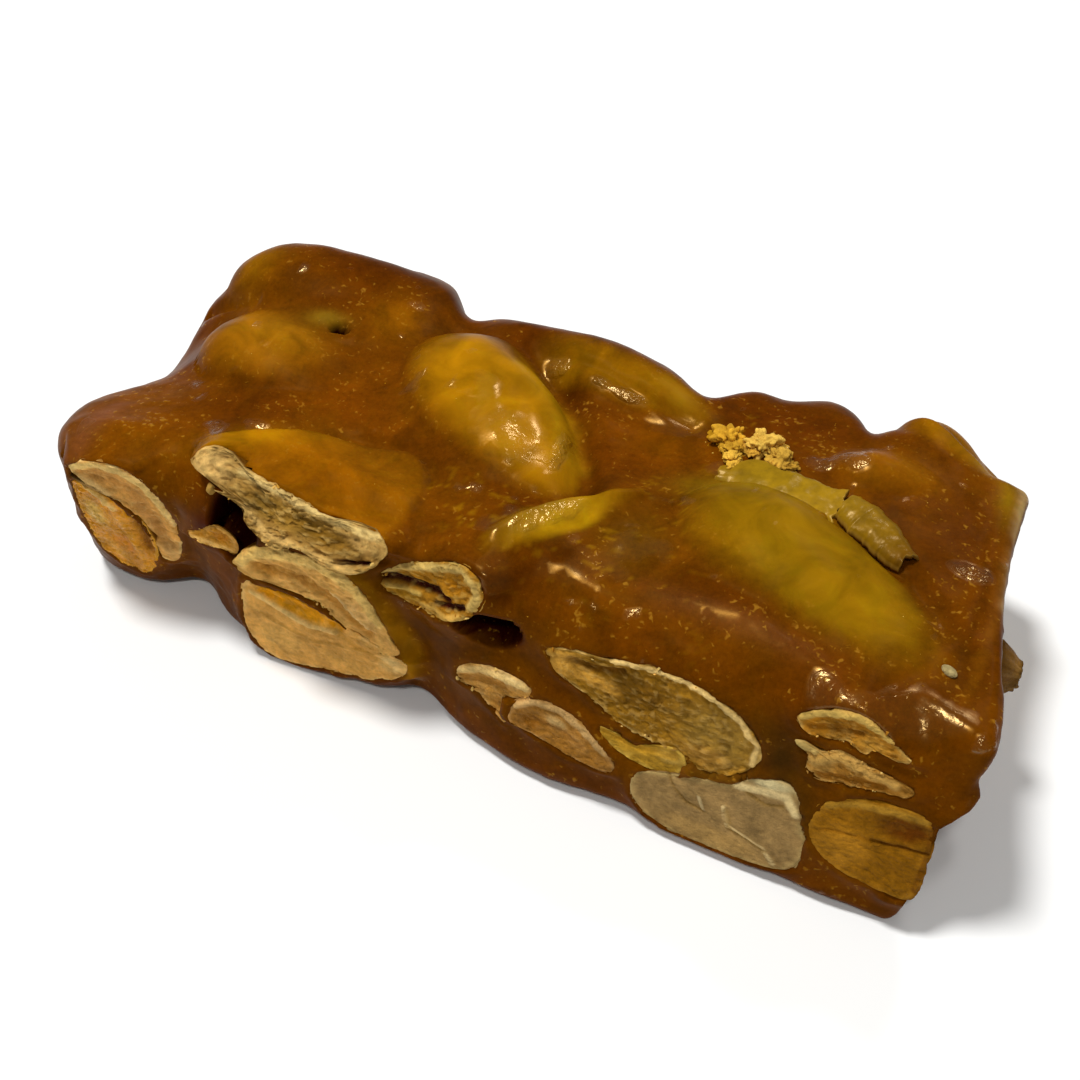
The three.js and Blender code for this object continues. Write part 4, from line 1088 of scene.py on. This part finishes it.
# The sides are one colour with patches, dull but for small wet specks, and dullest at the back.
tint = stained(tint, FRONT_TINT, (1 - upward) * 0.8 * ease(-plain_normals[:, 1] + 0.3))
tint = stained(tint, BACK_TINT, (1 - upward) * 0.8 * ease(plain_normals[:, 1] + 0.3))
facing_front = (1 - upward) * ease(-2 * plain_normals[:, 1])
tint = patched(tint, FRONT_STAINS, plain[:, 0], plain[:, 2], facing_front)
wet = lerp(0.1 + 0.42 * ease((lumps(plain, 1, 51, 2) - 0.85) / 0.2), wet, upward)
wet = wet * (1 - 0.7 * ease(plain_normals[:, 1] / 0.3))
wrinkles = 0.05 * lumps(plain, 0.9, 71, 1) * ease((wet - 0.35) / 0.3)
for middle, reach, heading in WRINKLED:
    wrinkles = wrinkles + 0.15 * lumps(plain, 1.9, 73, 1) * upward * oval(x, y, middle, reach, heading)
caramel_points += plain_normals * wrinkles[:, None]

# Where a whole almond bulges out of a side, the caramel lies over it as a thin golden skin, and the
# kernel shows bare where the bulge is strongest.
for node, almond in WHOLE_ALMONDS.items():
    pushed = np.zeros(len(caramel_points))
    for _ in range(16):
        beyond = beyond_kernel(caramel_points, almond) * almond["size"][1] / 2
        short = np.maximum(SIDE_SKIN - beyond, 0) * (1 - upward) * (plain[:, 2] > 3)
        pushed += short
        caramel_points += plain_normals * short[:, None]
    tint = stained(tint, SKINS[node]["tint"], 0.8 * ease(pushed / 0.5))

# The caramel comes out to the rim of each cut almond and lies back under its face.
for node, face in CUT_FACES.items():
    away = caramel_points - face["middle"]
    across, rise, height = away @ face["right"], away @ face["up"], away @ face["out"]
    uneven = 0.34 * lumps(caramel_points, 1.3, 83, 2) * min(1, face["radii"].mean() / 4)
    inside = inside_outline(across, rise, face["radii"]) - RIM_GAP + uneven
    near = (height > BEHIND_FACE) & (height < BEFORE_FACE) & (plain_normals @ face["out"] > -0.3)
    facing = ease((plain_normals @ face["out"] - 0.05) / 0.3)
    if face["out"][2] > 0.4:  # the caramel hangs away under a face that looks up
        facing = facing * ease(rise + 0.5)
    reached = bell(np.maximum(-inside - 0.2, 0) / 1.3) * ease((height - BEHIND_FACE) / 3) * facing
    low = near & (height < -0.1) & (node != CHIP)  # the chip stands out bare
    lack = np.where(low, (-0.1 - height) * reached, 0)
    height = height + lack
    climb = np.where(near, RIM_HEIGHT * bell((inside + 0.5) / 0.45) * ease(height + 1.5) * facing, 0)
    if face["out"][0] > 0.9:  # and none stands over the faces at the right end
        climb = climb - np.where(near, np.maximum(height - 0.1, 0) * bell(np.minimum(inside, 0) / 1.6), 0)
    height = height + climb
    caramel_points += face["out"] * (lack + climb)[:, None]
    wanted = -0.15 - UNDER_FACE * ease((inside - 0.2) / 0.5)
    drop = np.where(near & (inside > -0.1) & (height > wanted), wanted - height, 0)
    caramel_points += face["out"] * drop[:, None]

# The bubbles in the front are pressed in, and their walls are dull and painted dark as shade.
in_front = ease((-plain_normals[:, 1] - 0.1) / 0.3)
for at_x, at_z, width, tall, deep in BUBBLES:
    offset = np.hypot((caramel_points[:, 0] - at_x) / (width / 2), (caramel_points[:, 2] - at_z) / (tall / 2))
    caramel_points[:, 1] += deep * ease((1.04 - offset) / 0.5) * in_front
    inner = ease((1.2 - offset) / 0.3) * in_front
    tint = stained(tint, BUBBLE_SHADE, inner)
    wet = lerp(wet, 0, inner)

# Caramel cooked to hard crack and poured: brown where it is thick, gold where an almond lies just
# under it. It set with a dull skin and wet-looking wrinkled patches. Clouds 2 to 4 mm across come
# from uneven stirring, and its grain is drawn at 0.4 mm, coarser than it is, to show.
caramel, tree, shader, place, tinted, wetness = painted_material("poured_caramel")
cloud = add_node(tree, "ShaderNodeTexNoise", Vector=place, Scale=noise_scale(3.85), Detail=4.0,
                 Roughness=0.55, Distortion=0.8)
grain = add_node(tree, "ShaderNodeTexNoise", Vector=place, Scale=noise_scale(0.385), Detail=4.0,
                 Roughness=0.7)
parts = add_node(tree, "ShaderNodeSeparateColor", Color=tinted)
grainy = add_node(tree, "ShaderNodeMapRange", Value=parts.outputs["Green"], From_Min=0.045, From_Max=0.12,
                  To_Min=0.55, To_Max=0.08)
centred = add_node(tree, "ShaderNodeMath", dict(operation="SUBTRACT"), n0=grain.outputs["Fac"], n1=0.5)
both = add_node(tree, "ShaderNodeMath", dict(operation="MULTIPLY_ADD"), n0=centred.outputs[0],
                n1=grainy.outputs[0], n2=cloud.outputs["Fac"])
brown = mottled(tree, tinted, both.outputs[0], 0.3, 0.7, 0.66, 1.24)
hue = add_node(tree, "ShaderNodeTexNoise", Vector=place, Scale=noise_scale(2.08), Detail=3.0,
               Distortion=1.2)
greener = add_node(tree, "ShaderNodeMapRange", Value=hue.outputs["Fac"], From_Min=0.48, From_Max=0.68,
                   To_Max=0.25)
olive = add_node(tree, "ShaderNodeVectorMath", dict(operation="MULTIPLY"), n0=brown, n1=(1.02, 1.3, 0.9))
clouded = add_node(tree, "ShaderNodeMix", dict(data_type="RGBA"), n0=greener.outputs[0], n6=brown,
                   n7=olive.outputs[0])
# Grains of sugar and tiny bubbles, 0.2 to 0.5 mm across, in loose drifts where the caramel is dark.
drift = add_node(tree, "ShaderNodeMapRange", Value=cloud.outputs["Fac"], From_Min=0.4, From_Max=0.6,
                 To_Min=0.7, To_Max=0.55)
flecks = add_node(tree, "ShaderNodeTexNoise", Vector=place, Scale=noise_scale(0.435), Detail=1.0,
                  Distortion=0.4)
above = add_node(tree, "ShaderNodeMath", dict(operation="SUBTRACT"), n0=flecks.outputs["Fac"],
                 n1=drift.outputs[0])
fleck = add_node(tree, "ShaderNodeMapRange", Value=above.outputs[0], From_Min=0.05, From_Max=0.2,
                 To_Max=0.9)
fleck = add_node(tree, "ShaderNodeMath", dict(operation="MULTIPLY"), n0=fleck.outputs[0],
                 n1=grainy.outputs[0])
speckled = add_node(tree, "ShaderNodeMix", dict(data_type="RGBA"), n0=fleck.outputs[0],
                    n6=clouded.outputs[2], n7=linear("b07c20"))
tree.links.new(speckled.outputs[2], shader.inputs["Base Color"])
# The finest wrinkles of the wet patches, about 0.5 mm apart.
wave = add_node(tree, "ShaderNodeTexNoise", Vector=place, Scale=noise_scale(0.455), Detail=2.0,
                Roughness=0.5, Distortion=0.6)
wrinkled = add_node(tree, "ShaderNodeMapRange", Value=wetness, From_Min=0.6, From_Max=0.95, To_Max=1.0)
waved = add_node(tree, "ShaderNodeMath", dict(operation="MULTIPLY"), n0=wave.outputs["Fac"],
                 n1=wrinkled.outputs[0])
relief = add_node(tree, "ShaderNodeMath", dict(operation="MULTIPLY_ADD"), n0=grain.outputs["Fac"], n1=0.03,
                  n2=waved.outputs[0])
relief = add_node(tree, "ShaderNodeMath", dict(operation="MULTIPLY_ADD"), n0=fleck.outputs[0], n1=0.2,
                  n2=relief.outputs[0])
bump = add_node(tree, "ShaderNodeBump", Height=relief.outputs[0], Strength=0.9, Distance=0.26 * MM)
tree.links.new(bump.outputs["Normal"], shader.inputs["Normal"])
dull = add_node(tree, "ShaderNodeMapRange", Value=wetness, From_Min=0.3, From_Max=0.6, To_Min=0.34,
                To_Max=0.2)
tree.links.new(dull.outputs[0], shader.inputs["Roughness"])
shine = add_node(tree, "ShaderNodeMapRange", Value=wetness, From_Min=0.35, From_Max=0.75, To_Min=0.02,
                 To_Max=0.85)
tree.links.new(shine.outputs[0], shader.inputs["Specular IOR Level"])
glossy = add_node(tree, "ShaderNodeMapRange", Value=wetness, From_Min=0.45, From_Max=0.7)
glint = add_node(tree, "ShaderNodeMix", dict(data_type="RGBA"), n0=glossy.outputs[0], n6=linear("ffbe50"),
                 n7=linear("ffdc98"))
tree.links.new(glint.outputs[2], shader.inputs["Specular Tint"])
shader.inputs["IOR"].default_value = 1.5
shader.inputs["Subsurface Weight"].default_value = 0.1
shader.inputs["Subsurface Radius"].default_value = (1.0, 0.5, 0.05)
shader.inputs["Subsurface Scale"].default_value = 1 * MM

slab = new_piece("caramel_slab", caramel_points, caramel_quads.tolist(), caramel, tint, wet)
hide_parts("caramel")

# ---- lip and peel of glaze ----
# Where a bubble under the glaze broke, its edge stands up along the right almond as a thin lip, and
# a curled strip of it has peeled off behind. Both are brittle, thin and paler than the slab.
STRIP_CELLS = (90, 26, 2)
BROKEN_EDGE = "a88030"
STRIPS = {  # path, widths and lifts along it, arch, tilt, thickness and colours along it
    "flake_left": dict(
        path=[(12.7, 4.5), (15, 4.8), (18, 4.2), (20.4, 3.9), (22.3, 3.8)],
        widths=(1.4, 3.4, 3.1, 3.1, 3.1), lifts=(0, 0.2, 0.25, 0.3, 0.4), arch=0.35, tilt=0.3, thick=0.6,
        colours=("8a6608", "92700a", "96720a", "9a740c"),
    ),
    "flake_right": dict(
        path=[(22.7, 3.9), (24.4, 3.1), (26.4, 2), (28.2, 0.9)],
        widths=(2.4, 3.3, 2.9, 1.8), lifts=(0.5, 0.5, 0.4, 0.1), arch=0.85, tilt=0.1, thick=0.4,
        colours=("906c0c", "866208", "7e5a06", "6a4404"),
    ),
}
top_tree = KDTree(len(caramel_points))
for index in np.flatnonzero(upward > 0.6):
    top_tree.insert((caramel_points[index, 0], caramel_points[index, 1], 0), int(index))
top_tree.balance()


def top_point(x, y):
    """The number of the caramel's point that lies nearest under a place on the top."""
    return int(top_tree.find((x, y, 0))[1])


def glaze_strip(strip, seed):
    """The points and faces of an arched strip along a path on the top, ragged at its edges, and each
    point's share of the way along, across and up it."""
    unit, quads = box_skin(STRIP_CELLS)
    path = np.array(strip["path"], float)
    spans = len(path) - 1
    padded = np.concatenate([2 * path[:1] - path[1:2], path, 2 * path[-1:] - path[-2:-1]])
    first = np.minimum((unit[:, 0] * spans).astype(int), spans - 1)
    t = (unit[:, 0] * spans - first)[:, None]
    line = curve_through(*(padded[first + k] for k in range(4)), t)
    ahead = curve_through(*(padded[first + k] for k in range(4)), t + 0.01) - line
    ahead = ahead / np.linalg.norm(ahead, axis=1)[:, None]
    out = 2 * unit[:, 1] - 1
    width = np.interp(unit[:, 0], np.linspace(0, 1, len(strip["widths"])), strip["widths"])
    side = np.stack([unit[:, 0] * 9, np.sign(out) * 3, np.zeros(len(out))], -1)
    across = out * width / 2 * (1 + 0.16 * abs(out) * lumps(side, 0.9, seed, 3))
    at_end = abs(2 * unit[:, 0] - 1) ** 6
    end = 0.25 * lumps(np.stack([across, across, unit[:, 0]], -1), 0.7, seed + 1, 2) * at_end
    x = line[:, 0] - ahead[:, 1] * across + ahead[:, 0] * end
    y = line[:, 1] + ahead[:, 0] * across + ahead[:, 1] * end
    ground = np.array([caramel_points[top_point(a, b), 2] for a, b in path])
    ground = np.interp(unit[:, 0], np.linspace(0, 1, len(path)), ground + np.array(strip["lifts"]))
    arch = strip["arch"] * np.sqrt(1 - (0.985 * out) ** 2)
    z = ground + arch + strip["tilt"] * out + (unit[:, 2] - 1) * strip["thick"]
    z = z + 0.05 * lumps(np.stack([x, y, 0 * x], -1), 0.9, seed, 3)
    return np.stack([x, y, z], -1), quads.tolist(), unit


def strip_tints(points, unit, colours, seed):
    """Tints along a strip from the first colour to the last, paler at its broken edges."""
    share = unit[:, 0] * (len(colours) - 1)
    shades = np.array([linear(colour)[:3] for colour in colours])
    low = np.minimum(share.astype(int), len(colours) - 2)
    tint = lerp(shades[low], shades[low + 1], (share - low)[:, None])
    edge = np.maximum(abs(2 * unit[:, 1] - 1), abs(2 * unit[:, 0] - 1) ** 3)
    tint = stained(tint, BROKEN_EDGE, 0.6 * ease((edge - 0.92) / 0.07))
    return tint * (1 + 0.14 * lumps(points, 1.2, seed, 3))[:, None]


# Sugar glaze that set over an almond and broke: a satin skin with fine drawn-out streaks, drawn at
# 0.8 mm, and a pale edge where it snapped.
glaze, tree, shader, place, tinted, wetness = painted_material("broken_glaze")
streak = add_node(tree, "ShaderNodeTexNoise", Vector=place, Scale=noise_scale(0.77), Detail=5.0,
                  Roughness=0.65)
streaked = mottled(tree, tinted, streak.outputs["Fac"], 0.3, 0.7, 0.75, 1.2)
tree.links.new(streaked, shader.inputs["Base Color"])
bump = add_node(tree, "ShaderNodeBump", Height=streak.outputs["Fac"], Strength=0.25, Distance=0.12 * MM)
tree.links.new(bump.outputs["Normal"], shader.inputs["Normal"])
shader.inputs["Roughness"].default_value = 0.28
shader.inputs["Specular IOR Level"].default_value = 0.28
shader.inputs["Specular Tint"].default_value = linear("ffdc9c")

for number, (node, strip) in enumerate(STRIPS.items()):
    points, faces, unit = glaze_strip(strip, 70 + number)
    tints = strip_tints(points, unit, strip["colours"], 80 + number)
    piece = new_piece(node.replace("flake", "glaze_flake"), points, faces, glaze, tints,
                      np.zeros(len(points)))
    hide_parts(node)

# ---- crumbs ----
# Bits of almond and burst glaze that stuck to the block when it was cut: a clump behind the right
# almond, crumbs along the rims of the cut almonds, and grains strewn over the top.
CLUMP_COLOURS = ("d19821", "bd8214", "e1b03e", "eabc51", "af7811")
FLESH_COLOURS = ("e1b058", "d19a3b", "f0c870", "c18226", "e5bc68")
CLUMP_AT = ((11.4, 8.2), (12.6, 7), (13.6, 8.6), (14.6, 6.8), (15.6, 7.4), (16.8, 5.8), (17.6, 6.6))
CRUMBS_ON_RIMS = {"almond_crumbly": 40, "almond_shelf": 24, "almond_sliver": 8, "almond_rough": 10,
                  "almond_gap_upper": 10, "almond_split_upper": 10, "almond_gap_lower": 8,
                  "almond_chip_left": 4, "almond_end_upper": 6}
STREWN_GRAINS = 70
rng = np.random.default_rng(11)


def ball(subdivisions):
    """The points and faces of a ball 1 across."""
    mesh = bmesh.new()
    bmesh.ops.create_icosphere(mesh, subdivisions=subdivisions, radius=0.5)
    points = np.array([v.co for v in mesh.verts])
    faces = np.array([[v.index for v in f.verts] for f in mesh.faces])
    mesh.free()
    return points, faces


def crumb_heap(spots):
    """One mesh of crumbs from (place in mm, size, flatness, colour): its points, faces and tints."""
    points, faces, tints = [], [], []
    ball_points, ball_faces = ball(2)
    for number, (middle, size, flat, colour) in enumerate(spots):
        chunk = ball_points * rng.uniform(0.8, 1.2, 3)
        for _ in range(7):  # broken facets
            facet = rng.normal(size=3)
            facet = facet / np.linalg.norm(facet)
            beyond = np.maximum(chunk @ facet - rng.uniform(0.16, 0.4), 0)
            chunk = chunk - beyond[:, None] * facet
        chunk = chunk * [1, rng.uniform(0.6, 1), flat]
        spin = turned(*rng.uniform((-40, -40, -180), (40, 40, 180)))
        points.append(np.array(middle) + size * chunk @ spin.T)
        faces.append(ball_faces + len(ball_points) * number)
        base = np.array(linear(colour)[:3]) * rng.uniform(0.8, 1.15)
        tints.append(base * (0.9 + 0.2 * rng.random((len(ball_points), 1))))
    return np.concatenate(points), np.concatenate(faces).tolist(), np.concatenate(tints)


def on_top(x, y, sink):
    x, y, z = caramel_points[top_point(x, y)]
    return x, y, z - sink


spots = []
for at_x, at_y in CLUMP_AT:
    for size in rng.uniform(0.12, 0.36, 7):
        near_x, near_y = at_x + rng.normal(0, 0.6), at_y + rng.normal(0, 0.5)
        spots.append((on_top(near_x, near_y, 0), size, rng.uniform(0.4, 0.8), CLUMP_COLOURS[rng.integers(5)]))
for node, count in CRUMBS_ON_RIMS.items():
    face = CUT_FACES[node]
    for _ in range(count):
        angle = rng.uniform(-math.pi, math.pi)
        radius = np.interp(angle, ANGLES, face["radii"], period=2 * math.pi) * rng.uniform(0.82, 1.02)
        size = 0.1 + 0.45 * rng.random() ** 3
        along_face = radius * (math.cos(angle) * face["right"] + math.sin(angle) * face["up"])
        spots.append((face["middle"] + along_face + face["out"] * 0.05, size, rng.uniform(0.3, 0.8),
                      FLESH_COLOURS[rng.integers(5)]))
for _ in range(STREWN_GRAINS):
    spots.append((on_top(rng.uniform(-34, 36), rng.uniform(-13, 15), 0.04), rng.uniform(0.08, 0.2), 0.6,
                  CLUMP_COLOURS[rng.integers(5)]))
# One larger flake of almond beside the left bubble, over the left chip.
chip = CUT_FACES["almond_chip_left"]
beside_bubble = chip["middle"] + 0.4 * chip["right"] + 4.8 * chip["up"]
beside_bubble = caramel_points[np.linalg.norm(caramel_points - beside_bubble, axis=1).argmin()]
spots.append((beside_bubble, 1.2, 0.4, "b08840"))
points, faces, tints = crumb_heap(spots)
crumbs = new_piece("crumbs", points, faces, flesh_material, tints, np.zeros(len(points)), smooth=False)

# ---- burst glaze ----
# Lumps of glaze that foamed up through a burst bubble behind the right almond and set there like dry
# froth. They are brittle, full of fine holes and as matt as broken almond, so they share its material.
BURST = [  # place on the top, size, flatness, lift, colour and roughness
    (12.3, 9, 2.3, 0.7, 0.6, "d39d2b", 0.9), (11.3, 9.3, 1.4, 0.6, 0.3, "bb8717", 0.9),
    (12.8, 7.7, 1.7, 0.6, 0.4, "d19d2e", 0.9), (13.4, 6.6, 1.3, 0.6, 0.4, "ddac3e", 0.9),
    (13.7, 5.5, 0.9, 0.6, 0.4, "d5a438", 0.9), (14.9, 8.7, 2.2, 0.75, 0.6, "eabc51", 0.9),
    (15.7, 9.3, 1.5, 0.6, 0.3, "ddac44", 0.9), (14.2, 8, 1.3, 0.6, 0.3, "d19d38", 0.9),
    (16.7, 7.5, 1.8, 0.7, 0.4, "c49738", 0.9), (17.5, 7, 1.2, 0.6, 0.3, "af832c", 0.9),
]


def froth(knobs_at):
    """One mesh of knobbly lumps from (place on the top, size, flatness, lift, colour, roughness)."""
    points, faces, tints = [], [], []
    ball_points, ball_faces = ball(5)
    for number, (at_x, at_y, size, flat, lift, colour, rough) in enumerate(knobs_at):
        place = ball_points + 3.1 * number
        knobs = abs(lumps(place, 0.42, 101)) + 0.5 * abs(lumps(place, 0.16, 102))
        chunk = ball_points * (1 + rough * (1.2 * knobs - 0.5))[:, None] * [1, 1, flat]
        spin = turned(0, 0, rng.uniform(-180, 180))
        points.append(np.array(on_top(at_x, at_y, -lift)) + size * chunk @ spin.T)
        faces.append(ball_faces + len(ball_points) * number)
        # Painted light and shade: each lump is lighter on its knobs and darker in the hollows between them.
        tints.append(np.array(linear(colour)[:3]) * (0.8 + 0.5 * np.clip(knobs, 0, 1))[:, None])
    return np.concatenate(points), np.concatenate(faces).tolist(), np.concatenate(tints)


points, faces, tints = froth(BURST)
burst = new_piece("burst_glaze", points, faces, flesh_material, tints, np.zeros(len(points)))

# ---- sesame seed ----
# One hulled sesame seed, pale and dull, that stuck to the top near the front right corner: an oval
# about 1.2 mm long, made like a lump of froth but smooth, and then made narrow.
SEED = (33.3, -7.3, 1.25, 0.45, 0.12, "b09c68", 0.04)
SEED_HEADING, SEED_NARROW = -30, 0.62
points, faces, tints = froth([SEED])
along_seed = turned(0, 0, SEED_HEADING)
points = points.mean(0) + (points - points.mean(0)) @ along_seed * [1, SEED_NARROW, 1] @ along_seed.T
sesame = new_piece("sesame_seed", points, faces, flesh_material, tints, np.zeros(len(points)))

# ---- floor, light and camera ----
# A matt white board under the bar, three lamps with soft shades, and a pale room. The camera looks
# down from the front right.
FLOOR_REACH = 1.5
TARGET = Vector((*BAR_SHIFT[:2], 9)) * MM
VIEW_AZIMUTH, VIEW_ELEVATION, VIEW_DISTANCE = 24, 45, 120
corners = [(-1, -1), (1, -1), (1, 1), (-1, 1)]
floor_mesh = bpy.data.meshes.new("floor")
floor_mesh.from_pydata([(x * FLOOR_REACH, y * FLOOR_REACH, 0) for x, y in corners], [], [(0, 1, 2, 3)])
floor = bpy.data.objects.new("floor", floor_mesh)
bpy.context.scene.collection.objects.link(floor)
# Board faced with matt white paint, which throws back a soft even white and no reflection.
board, tree, shader = new_material("matt_white_board")
shader.inputs["Base Color"].default_value = linear("f8f8f6")
shader.inputs["Roughness"].default_value = 0.9
floor_mesh.materials.append(board)


def away_from_bar(azimuth, elevation, distance):
    a, e = math.radians(azimuth), math.radians(elevation)
    return Vector((math.sin(a) * math.cos(e), -math.cos(a) * math.cos(e), math.sin(e))) * distance * MM


def soft_light(name, azimuth, elevation, distance, size, power):
    data = bpy.data.lights.new(name, "AREA")
    data.shape = "DISK"
    data.size = size * MM
    data.energy = power
    lamp = bpy.data.objects.new(name, data)
    lamp.location = TARGET + away_from_bar(azimuth, elevation, distance)
    lamp.rotation_euler = (TARGET - lamp.location).to_track_quat("-Z", "Y").to_euler()
    bpy.context.scene.collection.objects.link(lamp)


soft_light("key", -90, 74, 600, 120, 2.9)
soft_light("front", 12, 58, 600, 60, 0.75)
soft_light("back", 170, 50, 600, 60, 0.5)
world = bpy.data.worlds.new("studio")
world.use_nodes = True
world.node_tree.nodes["Background"].inputs["Color"].default_value = (1, 1, 1, 1)
world.node_tree.nodes["Background"].inputs["Strength"].default_value = 0.16
bpy.context.scene.world = world
bpy.context.scene.view_settings.view_transform = "Standard"

camera_data = bpy.data.cameras.new("camera")
camera_data.lens = 50
camera_data.sensor_width = 36
camera_data.clip_start = 0.005
camera = bpy.data.objects.new("camera", camera_data)
camera.location = TARGET + away_from_bar(VIEW_AZIMUTH, VIEW_ELEVATION, VIEW_DISTANCE)
camera.rotation_euler = (TARGET - camera.location).to_track_quat("-Z", "Y").to_euler()
bpy.context.scene.collection.objects.link(camera)
bpy.context.scene.camera = camera
